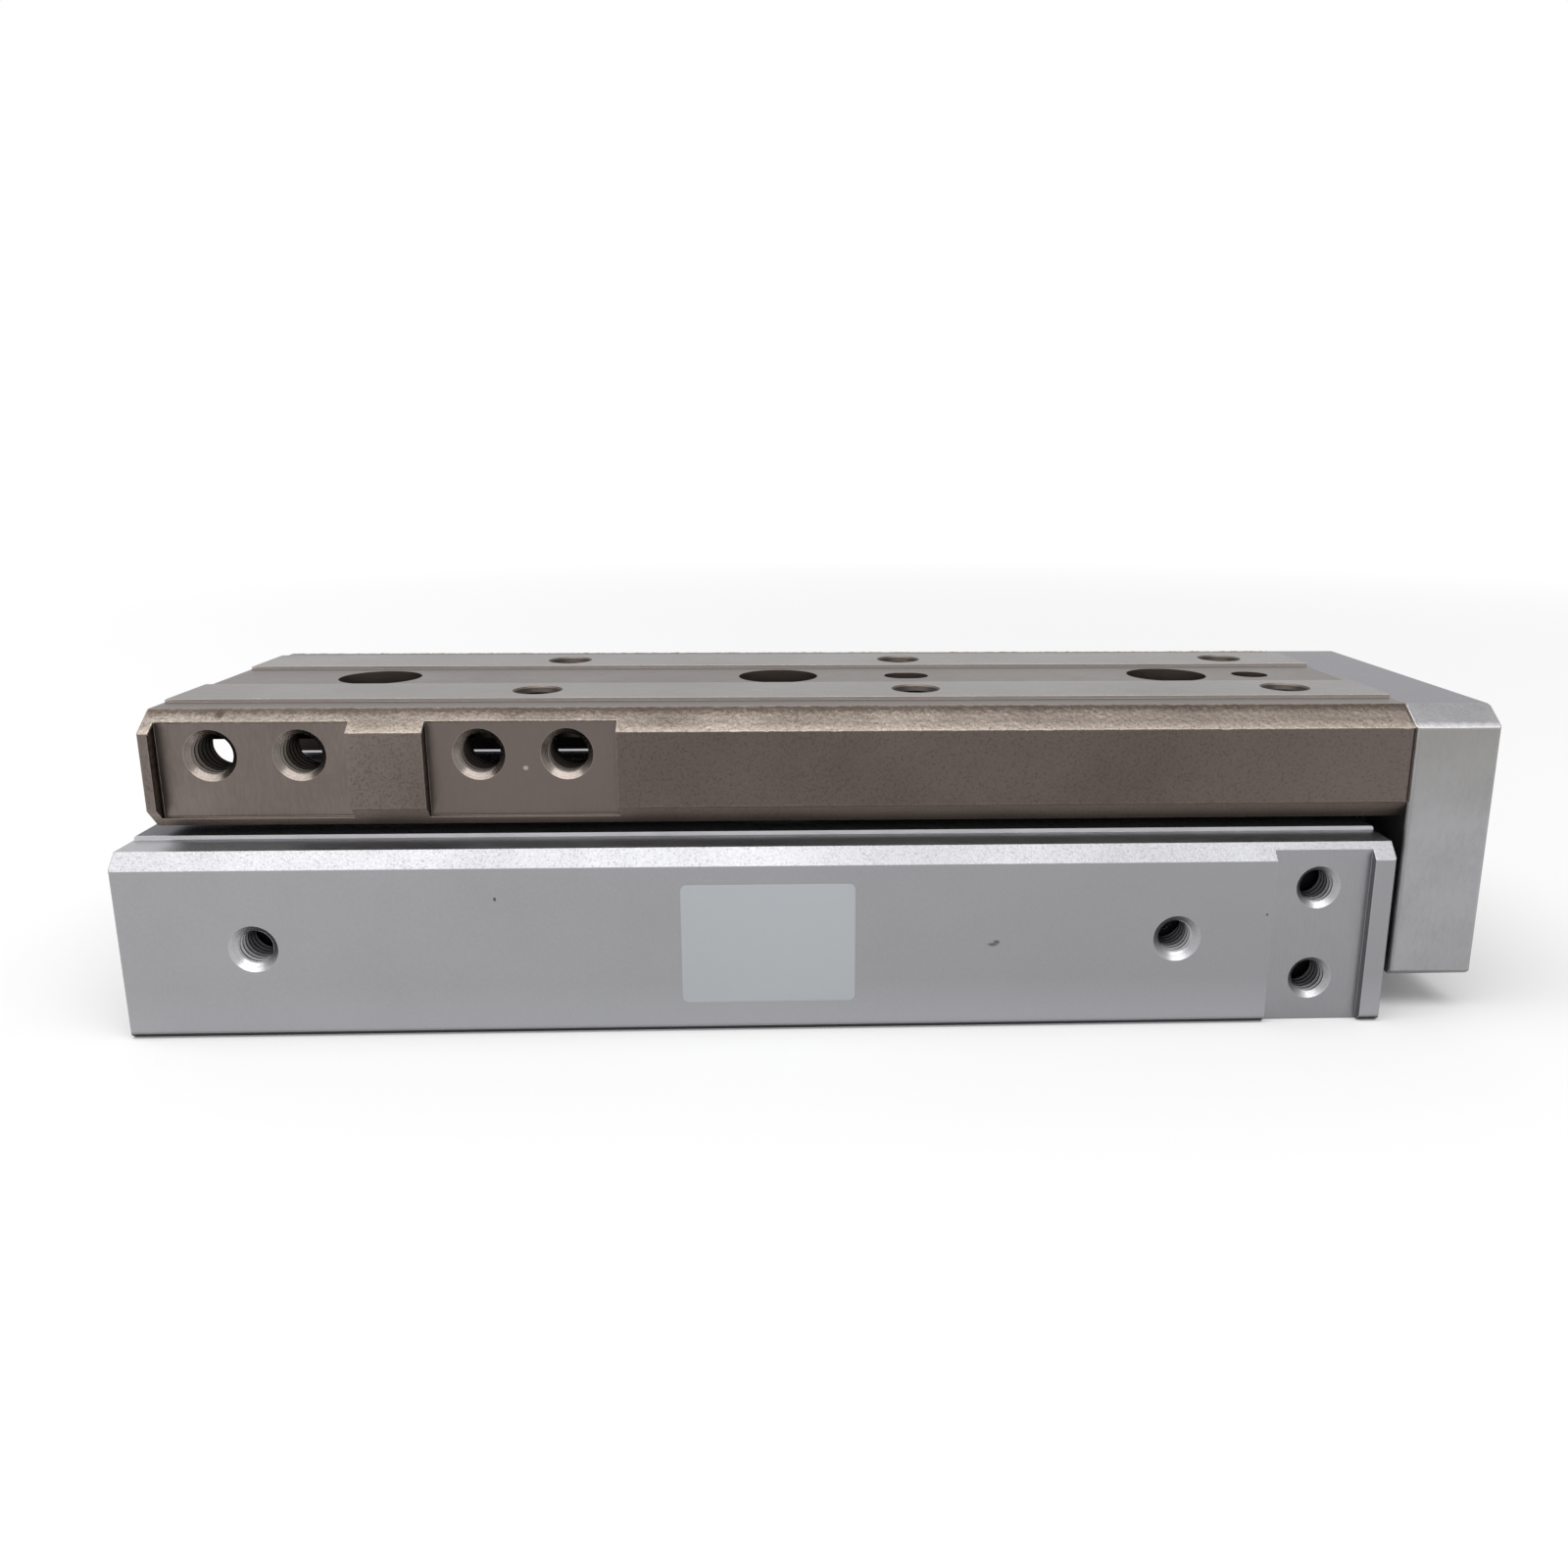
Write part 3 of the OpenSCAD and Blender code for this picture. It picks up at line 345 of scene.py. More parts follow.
class Paint:
    """The nodes of one finish while they are laid out.

    A MapRange takes a value, the two ends it runs from and the two ends it runs to.
    """

    PATCHED = (0.6, 1.0)  # noise over which the patches' tone sets in
    PITTED = (0.58, 0.68)  # noise over which the pits set in
    LIGHTENED_EDGE = (0.998, 0.95)  # how far face and rounded edge agree, from the face to its edge
    LIGHTENED_GAIN = 1.6  # makes up for the lumps that break a lightened edge
    MARKED = (2.0, 1.4)  # how far from a mark's middle it is gone and full, in its own size
    MOTTLED = (0.7, 1.3)  # noise over which the roughness varies
    FRAY = 1.6  # how strongly the grain frays a mark

    def __init__(self, surface: Surface, tree: NodeTree) -> None:
        """Lays out the coordinates, the noises and the rounded edges.

        Args:
            surface: The finish.
            tree: Its material's nodes.
        """
        self.surface, self.tree = surface, tree
        self.where = add_node(tree, "TexCoord").outputs["Object"]
        self.fine = self.grain(surface.grain, 3.0)
        self.broad, self.lumps = (
            add_node(tree, "TexNoise", {"Vector": self.where, "Scale": 1 / (size * MM),
                                        "Detail": detail, "Roughness": gain})
            for size, detail, gain in ((surface.patch, 4.0, 0.6), (surface.lump, 2.0, 0.5))
        )
        self.rounded = add_node(tree, "Bevel", {"Radius": surface.edge * MM}, samples=6)

    def grain(self, size: float, detail: float) -> Node:
        """Adds a grain of a real size, drawn out along the finish's run.

        Args:
            size: Size of the grain, in mm.
            detail: How many finer octaves it has.

        Returns:
            The grain, around 0.5.
        """
        scale = tuple(1 / r for r in self.surface.run)
        drawn = add_node(self.tree, "Mapping", {"Vector": self.where, "Scale": scale})
        return add_node(self.tree, "TexNoise", {"Vector": drawn, "Scale": 1 / (size * MM),
                                                "Detail": detail, "Roughness": 0.6})

    def shader(self) -> Node:
        """Lays out the shader with its colour, its relief and its roughness.

        Returns:
            The shader.
        """
        tree, finish = self.tree, self.surface
        colour: Input = finish.colour
        for share, shade in self.layers():
            mixed = add_node(tree, "Mix", {0: share, 6: colour, 7: shade}, data_type="RGBA")
            colour = mixed.outputs[2]
        coarse = add_node(tree, "Math", [self.lumps, finish.lump_height], operation="MULTIPLY")
        height = add_node(tree, "Math", [self.fine, finish.grain_height, coarse],
                          operation="MULTIPLY_ADD")
        bump = add_node(tree, "Bump", {"Distance": MM, "Height": height, "Normal": self.rounded})
        mottled = add_node(tree, "Math", [self.fine, self.broad], operation="ADD")
        rough = add_node(tree, "MapRange", [
            mottled, *self.MOTTLED, *(finish.roughness + s * finish.spread for s in (-1, 1))
        ])
        return add_node(
            tree, "BsdfPrincipled",
            {"Base Color": colour, "Metallic": finish.metallic, "Roughness": rough,
             "Normal": bump, "Coat Weight": finish.coat, "Coat Roughness": 0.25,
             "Sheen Weight": finish.sheen,
             "Specular Tint": finish.glancing if finish.metallic else "#FFFFFF"},
        )

    def layers(self) -> Iterator[tuple[Node, str]]:
        """Lays out patches, fades, pits, lightened edges and marks, from the bottom up; the edges
        stand for rubbed wear and a painted highlight.

        Yields:
            How strongly each layer shows at each point, and its colour.
        """
        tree, finish = self.tree, self.surface
        blend = add_node(tree, "Math", [self.fine, 0.6, self.broad], operation="MULTIPLY_ADD")
        yield add_node(tree, "MapRange", [blend, *self.PATCHED, 0.0, finish.patchy]), finish.tone
        for fade in finish.fades:
            yield self.faded(fade), fade.colour
        if finish.pits:
            pits = self.grain(finish.pit, 1.0)
            shown = add_node(tree, "MapRange", [pits, *self.PITTED, 0.0, finish.pits])
            yield shown, finish.pit_colour
        # Lightened rounded edges: partly rubbed wear, partly a painted highlight.
        facing = add_node(tree, "NewGeometry").outputs["Normal"]
        flat = add_node(tree, "VectorMath", [self.rounded, facing],
                        operation="DOT_PRODUCT").outputs["Value"]
        rim = add_node(tree, "MapRange", [flat, *self.LIGHTENED_EDGE, 0.0,
                                          finish.edge_lightening * self.LIGHTENED_GAIN])
        yield add_node(tree, "Math", [rim, self.lumps], operation="MULTIPLY",
                       use_clamp=True), finish.edge_colour
        if finish.marks:
            yield self.marked(), finish.mark_colour

    def faded(self, fade: Fade) -> Node:
        """Measures how far a fade has come, frayed by the lumps.

        Args:
            fade: The fade.

        Returns:
            How strongly it shows at each point.
        """
        along = add_node(self.tree, "VectorMath", [self.where, fade.along],
                         operation="DOT_PRODUCT").outputs["Value"]
        frayed = add_node(self.tree, "Math", [self.lumps, fade.fray * MM, along],
                          operation="MULTIPLY_ADD")
        start, end = ((edge + fade.fray / 2) * MM for edge in (fade.start, fade.end))
        return add_node(self.tree, "MapRange", [frayed, start, end, 0.0, fade.strength])

    def marked(self) -> Node:
        """Adds up the marks, each with an outline that the fine grain frays.

        Returns:
            How strongly a mark shows, from 0 to 1.
        """
        tree = self.tree
        total: Input = 0.0
        for mark in self.surface.marks:
            middle, reach = (tuple(v * MM for v in size) for size in (mark.middle, mark.reach))
            away = add_node(tree, "VectorMath", [self.where, middle], operation="SUBTRACT")
            scaled = add_node(tree, "VectorMath", [away, reach], operation="DIVIDE")
            far = add_node(tree, "VectorMath", [scaled], operation="LENGTH").outputs["Value"]
            frayed = add_node(tree, "Math", [self.fine, self.FRAY, far], operation="MULTIPLY_ADD")
            shown = add_node(tree, "MapRange", [frayed, *self.MARKED, 0.0, mark.strength])
            total = add_node(tree, "Math", [total, shown], operation="MAXIMUM")
        return total


# ---- Finishes ----

# Extruded aluminium, etched matt and hard anodised: a soft grey with a fine even grain.
ANODISED_BODY = Surface(
    "anodised aluminium, etched", "#9E9EA0", "#98989A", roughness=0.4, grain=0.35,
    grain_height=0.006, edge=0.16, edge_colour="#D5D5D8",
    # Painted light and shade: darker towards the front end, lighter towards the bottom, and a
    # painted shadow on the bottom chamfer.
    fades=(
        Fade(FRONT, -50, 60, "#939396", 0.9), Fade(DOWN, -6.5, -1.5, "#A6A6AA", 0.7),
        Fade(DOWN, -1.0, -0.5, "#57575A", 0.9),
    ),
    marks=(
        Mark((-39.1, -30, 17.5), (0.18, 1, 0.25)), Mark((21.3, -30, 11.0), (0.6, 1, 0.25), 0.8),
        Mark((21.8, -30, 11.3), (0.45, 1, 0.25), 0.8), Mark((55.3, -30, 14.5), (0.16, 1, 0.16)),
    ),
    mark_colour="#57504E",
)
# The chamfers of the extrusion: the die left a sandy grain that sparkles in the light.
ANODISED_CHAMFER = Surface(
    "anodised aluminium, sandy chamfer", "#A4A4A7", "#96969A", roughness=0.4,
    grain=0.25, grain_height=0.025, edge=0.16, edge_colour="#DDDDE0", pit=0.28, pits=0.45,
    # The fade is painted shade: darker towards the front end.
    pit_colour="#6E6E72", fades=(Fade(FRONT, -20, 50, "#929295", 0.85),),
)
# The ledge and the step beside the table, cut bright before anodising.
BRIGHT_CUT = Surface(
    "anodised aluminium, bright cut", "#C2C1C4", "#B4B3B6", roughness=0.34,
    grain=0.25, run=(8, 1, 1), edge=0.08,
)
# The seat of the guide under the table: the same metal under a film of oil, with painted shade
# where the table covers it, darker reflections, and painted light towards the rear end.
OILED_SHADED_BODY = replace(
    BRIGHT_CUT, name="anodised aluminium, oily and shaded", colour="#7F7F83", tone="#6A6A6E", roughness=0.6,
    patchy=0.7, fades=(Fade(REAR, 78, 83, "#98989B", 0.9, 2.0),), glancing="#28282C",
)
# The same aluminium where a cutter has gone over it: smoother and a little darker.
MILLED_BODY = replace(
    BRIGHT_CUT, name="anodised aluminium, milled", colour="#959497", tone="#8E8D90", run=(1, 1, 6),
)
# Sawn and brushed bar stock, anodised: faint strokes and pale scuffs.
ANODISED_PLATE = Surface(
    "anodised aluminium, brushed", "#9F9EA1", "#959494", grain=0.45,
    grain_height=0.005, run=(1, 1, 2.5), lump=2.5, lump_height=0.01, patch=9, patchy=0.7,
    edge=0.45, edge_colour="#DADADC", edge_lightening=0.3,
    # Painted light and shade: a painted shadow along the joint with the table, darker towards the
    # top, and the top face painted a shade of its own.
    fades=(
        Fade(REAR, -74.1, -73.6, "#6E6D70", 0.8), Fade(UP, 24, 37, "#8E8D89", 0.8),
        Fade(UP, 39.3, 39.5, "#99989D", 0.95),
    ),
)
# The plate's sloping shoulders: a coarser saw grain, a painted highlight along the lower edge and
# a painted shadow along the joint with the table.
PLATE_SHOULDER = Surface(
    "anodised aluminium, sawn shoulder", "#9A999B", "#858486", roughness=0.4,
    grain=0.35, grain_height=0.03, lump=0.8, lump_height=0.03, patch=6, patchy=0.9, edge=0.3,
    edge_colour="#E6E4E6", edge_lightening=0.6,
    fades=(
        Fade(DOWN, -37.8, -37.35, "#CBC9CB", 0.8, 0.5), Fade(REAR, -73.9, -73.5, "#858385", 0.6),
    ),
)
# Cast iron with a dull nickel coat: brown-grey, sandy, with dark pits and pale edges of rubbed
# wear and painted highlight.
CAST_NICKEL = Surface(
    "cast iron, nickel plated", "#766C68", "#645B56", roughness=0.52, spread=0.1,
    grain_height=0.03, lump=0.8, lump_height=0.04, patch=22, patchy=0.8, edge=0.25,
    edge_colour="#A2978C", edge_lightening=0.5, pit=0.3, pits=0.2, pit_colour="#3C342F",
    # Painted light and shade: darker from the pads forward and a little lighter near the front
    # end, a painted shadow along the joint with the end plate, and painted light on the lower
    # chamfer, darker towards its foot.
    fades=(
        Fade(FRONT, -56, -25, "#574D49", 0.65), Fade(FRONT, 45, 78, "#6E6460", 0.7),
        Fade(FRONT, 72.95, 73.15, "#1F1916", 0.9), Fade(DOWN, -27.9, -27.6, "#8D8178", 0.8),
        Fade(DOWN, -26.9, -25.6, "#4E4540", 0.6),
    ),
)
# The same skin on the sloping shoulders, where the mould left coarser lumps that catch the light.
CAST_SHOULDER = Surface(
    "cast iron shoulder, nickel plated", "#8F857D", "#6C635C", roughness=0.48,
    spread=0.1, grain=0.28, grain_height=0.05, lump=0.5, lump_height=0.04, patch=12, patchy=0.9,
    edge=0.2, edge_colour="#C9BFB4", edge_lightening=0.8, pit=0.3, pits=0.6, pit_colour="#544B45",
    # Painted light and shade: darker towards the front end, a painted shadow along the joint with
    # the end plate, a painted highlight along the lower edge, and darker along the upper edge.
    fades=(
        Fade(FRONT, 10, 60, "#7A716A", 0.7), Fade(FRONT, 72.95, 73.15, "#1F1916", 0.9),
        Fade(DOWN, -38.0, -37.3, "#A79C91", 0.7, 0.6), Fade(UP, 38.7, 39.3, "#433A34", 0.8, 0.9),
    ),
    marks=(Mark((-71.8, -23.5, 39.0), (0.5, 0.9, 0.8)),), mark_colour="#4A413B",
)
# Ground and plated: pale, with lines that the wheel left along the table.
GROUND_NICKEL = Surface(
    "ground iron, nickel plated", "#A19D9B", "#979390", roughness=0.3, grain=0.22,
    grain_height=0.002, run=(14, 1, 1), patchy=0.8, edge_colour="#C9C4C0",
)
# Milled and plated: browner than the ground lands.
MILLED_NICKEL = Surface(
    "milled iron, nickel plated", "#8D8683", "#857E7A", roughness=0.36,
    run=(8, 1, 1), patchy=0.8, edge_colour="#B8B0AA",
    # The fade is painted light: the step walls up to the lands are lighter.
    fades=(Fade(UP, 39.62, 39.68, "#B6AEA9", 0.9),),
)
# The milled pads on the side, with upright strokes.
PAD_NICKEL = Surface(
    "side-milled iron, nickel plated", "#786E69", "#6C635E", roughness=0.38,
    run=(1, 1, 5), patch=14, patchy=0.9, edge_colour="#B0A69E", edge_lightening=0.5,
    # The fade is painted shade: the front pad is darker than the rear one.
    fades=(Fade(FRONT, -56, -47, "#685F5A", 0.9),),
    marks=(Mark((-35.7, -24.4, 32.4), (0.3, 1, 0.3)),), mark_colour="#A89E96",
)
# Walls round the pads: brown stains, with painted shade that darkens them towards the corner with
# the pad.
STAINED_SHADED_NICKEL = Surface(
    "stained and shaded iron edge", "#6A605A", "#4A3F39", roughness=0.55, grain=0.4,
    grain_height=0.03, patch=2.5, patchy=0.8, edge=0.05, edge_lightening=0.0, pit=0.6, pits=0.6,
    fades=(Fade(LEFT, -25.5, -24.9, "#1E1713", 0.95, 0.6),),
)
# Cut threads in the casting, seen from above: the dark colour is painted shade inside the holes.
THREAD_NICKEL = Surface(
    "cut thread, nickel plated", "#403B38", "#2F2B28", grain=0.2,
    grain_height=0.004, patchy=0.8, edge=0.05, edge_colour="#8E8681", edge_lightening=0.5,
)
# The bored walls of the access holes: brown, with painted shade that darkens them towards the
# bottom.
BORED_NICKEL = Surface(
    "bored iron, nickel plated", "#6E645E", "#564D48", grain=0.25, run=(4, 4, 1),
    patchy=0.8, edge=0.06, edge_colour="#A79D95", edge_lightening=0.3,
    fades=(Fade(DOWN, -38.6, -35.5, "#1B1613", 0.9),),
)
# The threads of the side pads, with painted shade that darkens them further in.
DEEP_THREAD_NICKEL = Surface(
    "cut thread, shaded further in", "#8A817B", "#726A64", roughness=0.26, grain=0.2,
    patchy=0.8, edge=0.05, edge_colour="#CFC7C0", edge_lightening=0.4,
    fades=(Fade(LEFT, -23.8, -21.0, "#141210", 0.94),),
)
# The channel's inside: oily, with a near-black colour and dark reflections that are painted shade.
OILED_SHADED_NICKEL = Surface(
    "oiled iron, shaded", "#332E2B", "#25211E", roughness=0.45, patchy=0.7,
    edge_lightening=0.05, glancing="#4A4542", coat=0.1,
)
# Cut threads in the aluminium end plate.
THREAD_ALUMINIUM = Surface(
    "cut thread, anodised", "#B4B4B7", "#98989A", roughness=0.33, grain=0.2,
    grain_height=0.002, edge=0.05, edge_colour="#E2E2E4", edge_lightening=0.5,
)
# Cut threads in the body's side, with painted shade that darkens them further in.
DEEP_THREAD_ALUMINIUM = replace(
    THREAD_ALUMINIUM, name="cut thread, anodised, shaded further in",
    fades=(Fade(LEFT, -28.6, -26.0, "#1C1C20", 0.9),),
)
# Hardened steel, ground along its length.
GROUND_STEEL = Surface(
    "hardened steel, ground", "#A9ABAE", "#96989B", roughness=0.25, grain=0.2,
    grain_height=0.002, run=(16, 1, 1), patchy=0.7, edge=0.12,
)
# Plain turned steel parts.
TURNED_STEEL = Surface(
    "steel, turned", "#A3A4A6", "#8F9092", roughness=0.35, grain=0.2,
    run=(1, 4, 4), edge=0.08,
)
# Hard chrome on the piston rods: nearly a mirror.
CHROME = Surface(
    "steel, hard chrome", "#C9CBCE", "#BDBFC2", roughness=0.12, spread=0.03,
    grain_height=0.0006, run=(1, 6, 6), patchy=0.4, edge=0.08,
)
# Polished bearing balls.
BALL_STEEL = Surface(
    "bearing steel, polished", "#C4C6C9", "#B4B6B9", roughness=0.1, spread=0.03,
    grain=0.8, grain_height=0.0, patchy=0.4, edge=0.02, edge_lightening=0.0,
)
# Black oxide on alloy steel: near black, with a brown cast and pale edges of rubbed wear and
# painted highlight.
BLACK_OXIDE = Surface(
    "alloy steel, black oxide", "#2B2A2B", "#383330", grain_height=0.004,
    patchy=0.7, edge=0.12, edge_colour="#6D6A68",
)
# Turned aluminium caps and pistons, clear anodised.
CAP_ALUMINIUM = Surface(
    "aluminium, turned and anodised", "#B0B1B4", "#A2A3A6", roughness=0.32,
    grain=0.25, run=(1, 5, 5), edge=0.12,
)
# Turned brass.
BRASS = Surface(
    "brass, turned", "#B08D4A", "#9C7A3E", roughness=0.3, grain=0.25,
    run=(1, 5, 5), patchy=0.7, edge_colour="#D9BC7A",
)
# Sintered magnet: dull, dark and sandy.
MAGNET = Surface(
    "ferrite, sintered", "#3A3A3D", "#2C2C2F", metallic=0.0, roughness=0.7,
    grain_height=0.01, patchy=0.7, edge_colour="#5A5A5D",
)
# Moulded acetal resin with a spark-eroded texture.
RESIN = Surface(
    "acetal resin, moulded", "#2C2E33", "#25272B", metallic=0.0, roughness=0.48,
    grain_height=0.008, edge=0.2, edge_colour="#4A4D53", edge_lightening=0.3,
)
# Cast urethane: honey coloured, slightly waxy.
URETHANE = Surface(
    "urethane, cast", "#D0BC80", "#C2AC6E", metallic=0.0, roughness=0.4,
    grain=0.5, grain_height=0.004, edge=0.2, edge_colour="#E0D09A", coat=0.2,
)
# Moulded nitrile rubber: black and matt.
NITRILE = Surface(
    "nitrile rubber, moulded", "#1B1B1D", "#232325", metallic=0.0, roughness=0.62,
    grain_height=0.006, patchy=0.7, edge=0.12, edge_colour="#3A3A3C", edge_lightening=0.3, sheen=0.15,
)
# Bare silver polyester film, faintly rippled by its adhesive.
LABEL_FILM = Surface(
    "polyester film, silver", "#ADB1B5", "#A9ADB1", metallic=0.0, grain=0.5,
    grain_height=0.002, lump=4.0, lump_height=0.01, patchy=0.5, edge=0.03, edge_colour="#C4C8CC",
    edge_lightening=0.4, coat=0.3,
)


def dress(
    nodes: str, *surfaces: Surface, zone: Callable[[Vector, Vector], Surface] | None = None
) -> None:
    """Gives CAD nodes their finishes.

    Args:
        nodes: The nodes' names, with spaces between them.
        surfaces: Their finishes; the first one is for the whole node if there is no zone.
        zone: Picks a face's finish from its middle and its normal.
    """
    for node in nodes.split():
        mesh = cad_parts[node].data
        mesh.materials.clear()
        for surface in surfaces:
            mesh.materials.append(surface.material())
        for face in mesh.polygons:
            picked = zone(face.center / MM, face.normal) if zone else surfaces[0]
            face.material_index = surfaces.index(picked)
        log.info("%s: %s", node, ", ".join(surface.name for surface in surfaces))


def hand_over(piece: Object, carrier: Carrier, slot: Slot, surface: Surface) -> None:
    """Gives a new piece its finish and its carrier, and reports it.

    Args:
        piece: The finished piece.
        carrier: The body that it moves with.
        slot: Not used.
        surface: Its finish.
    """
    piece.data.materials.clear()
    piece.data.materials.append(surface.material())
    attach(piece, carrier.value)
    log.info("%s: %d faces on %s", piece.name, len(piece.data.polygons), carrier.value)


# ---- Threads ----


@dataclass(frozen=True)
class ThreadSize:
    """A metric thread: its nominal radius and its pitch, in mm."""

    radius: float
    pitch: float


class Thread(Enum):
    """The coarse metric threads of this part."""

    M5 = ThreadSize(2.5, 0.8)
    M6 = ThreadSize(3.0, 1.0)


@dataclass
class TappedHoles:
    """The thread ridges inside a set of equal tapped holes."""

    name: str
    thread: Thread
    depth: float  # of the thread
    mouth: float  # extra radius of the countersink
    inward: Triple  # the way into the holes
    mouths: list[Triple]  # the middle of each hole's mouth
    carrier: Carrier
    slot: Slot
    surface: Surface
    steps: int = 40  # how many faces go round one turn
    crest: float = 0.54  # how far the crests stand in from the radius, in pitches
    root: float = 0.92  # width of the ridge at its root, in pitches
    taper: float = 0.27  # share of that width at the crest
    bite: float = 0.04  # reach of the ridges and their ring into the wall
    overlap: float = 0.02  # reach of the ridge up into the ring
    spare: float = 1.0  # how far the cutting bodies stand out

    @property
    def lead(self) -> float:
        """Depth where the countersink has narrowed to the thread's crests, in mm."""
        return self.mouth + self.crest * self.thread.value.pitch

    def build(self) -> None:
        """Turns one ridge with its countersink, copies it into each hole and hands it over."""
        ridge, ring = self.coil(), self.countersink()
        make_active(ridge)
        ring.select_set(True)
        bpy.ops.object.join()
        smooth(ridge, 40)
        turn = Vector(DOWN).rotation_difference(Vector(self.inward)).to_matrix().to_4x4()
        spots = [Matrix.Translation(Vector(m) * MM) @ turn for m in self.mouths]
        ridges = repeat(ridge, spots, self.name)
        hand_over(ridges, self.carrier, self.slot, self.surface)

    def coil(self) -> Object:
        """Winds a closed ridge of the thread's section about z, down from the countersink.

        Returns:
            The coil.
        """
        radius, pitch = self.thread.value.radius, self.thread.value.pitch
        root = (radius + self.bite) * MM
        crest = (radius - self.crest * pitch) * MM
        middle = (root + crest) / 2
        deselect_all()
        bpy.ops.mesh.primitive_plane_add(
            size=1, location=(middle, 0, 0), rotation=(math.pi / 2, 0, 0)
        )
        coil = stretch("coil", (root - crest, self.root * pitch * MM, 1))
        with editing(coil, "VERT") as mesh:
            choose(mesh, mesh.verts, lambda p, n: p.x < middle)
            bpy.ops.transform.resize(
                value=(1, 1, self.taper), center_override=(crest, 0, 0), orient_type="GLOBAL"
            )
        with editing(coil, "FACE"):
            bpy.ops.mesh.select_all(action="SELECT")
            bpy.ops.mesh.delete(type="ONLY_FACE")
        apply_modifier(
            coil, "SCREW", angle=2 * math.pi, screw_offset=-pitch * MM, axis="Z",
            iterations=math.ceil(self.depth / pitch) + 2, steps=self.steps,
            render_steps=self.steps,
        )
        with editing(coil, "VERT"):
            bpy.ops.mesh.select_all(action="SELECT")
            bpy.ops.transform.translate(value=(0, 0, pitch * MM))
            bpy.ops.mesh.remove_doubles(threshold=1e-6)
            bpy.ops.mesh.select_all(action="DESELECT")
            bpy.ops.mesh.select_non_manifold()
            bpy.ops.mesh.fill_holes(sides=4)
            bpy.ops.mesh.select_all(action="SELECT")
            bpy.ops.mesh.normals_make_consistent(inside=False)
        top = self.lead - self.overlap
        deselect_all()
        bpy.ops.mesh.primitive_cylinder_add(
            vertices=32, radius=(radius + self.spare) * MM, depth=(self.depth - top) * MM,
            location=(0, 0, -(self.depth + top) / 2 * MM),
        )
        combine(coil, bpy.context.object, "INTERSECT")
        return coil

    def countersink(self) -> Object:
        """Turns the ring that carries the 45 degree countersink down to the crests.

        Returns:
            The ring, about z, with its mouth at the origin.
        """
        radius, spare = self.thread.value.radius, self.spare
        half_way = (0, 0, -self.lead / 2 * MM)
        deselect_all()
        bpy.ops.mesh.primitive_cylinder_add(
            vertices=64, radius=(radius + self.bite) * MM, depth=self.lead * MM,
            location=half_way,
        )
        ring = bpy.context.object
        wide = radius + self.mouth + NEAR
        bpy.ops.mesh.primitive_cone_add(
            vertices=64, radius1=(wide - self.lead - spare) * MM, radius2=(wide + spare) * MM,
            depth=(self.lead + 2 * spare) * MM, location=half_way,
        )
        combine(ring, bpy.context.object, "DIFFERENCE")
        return ring


# ---- The sub-assemblies ----


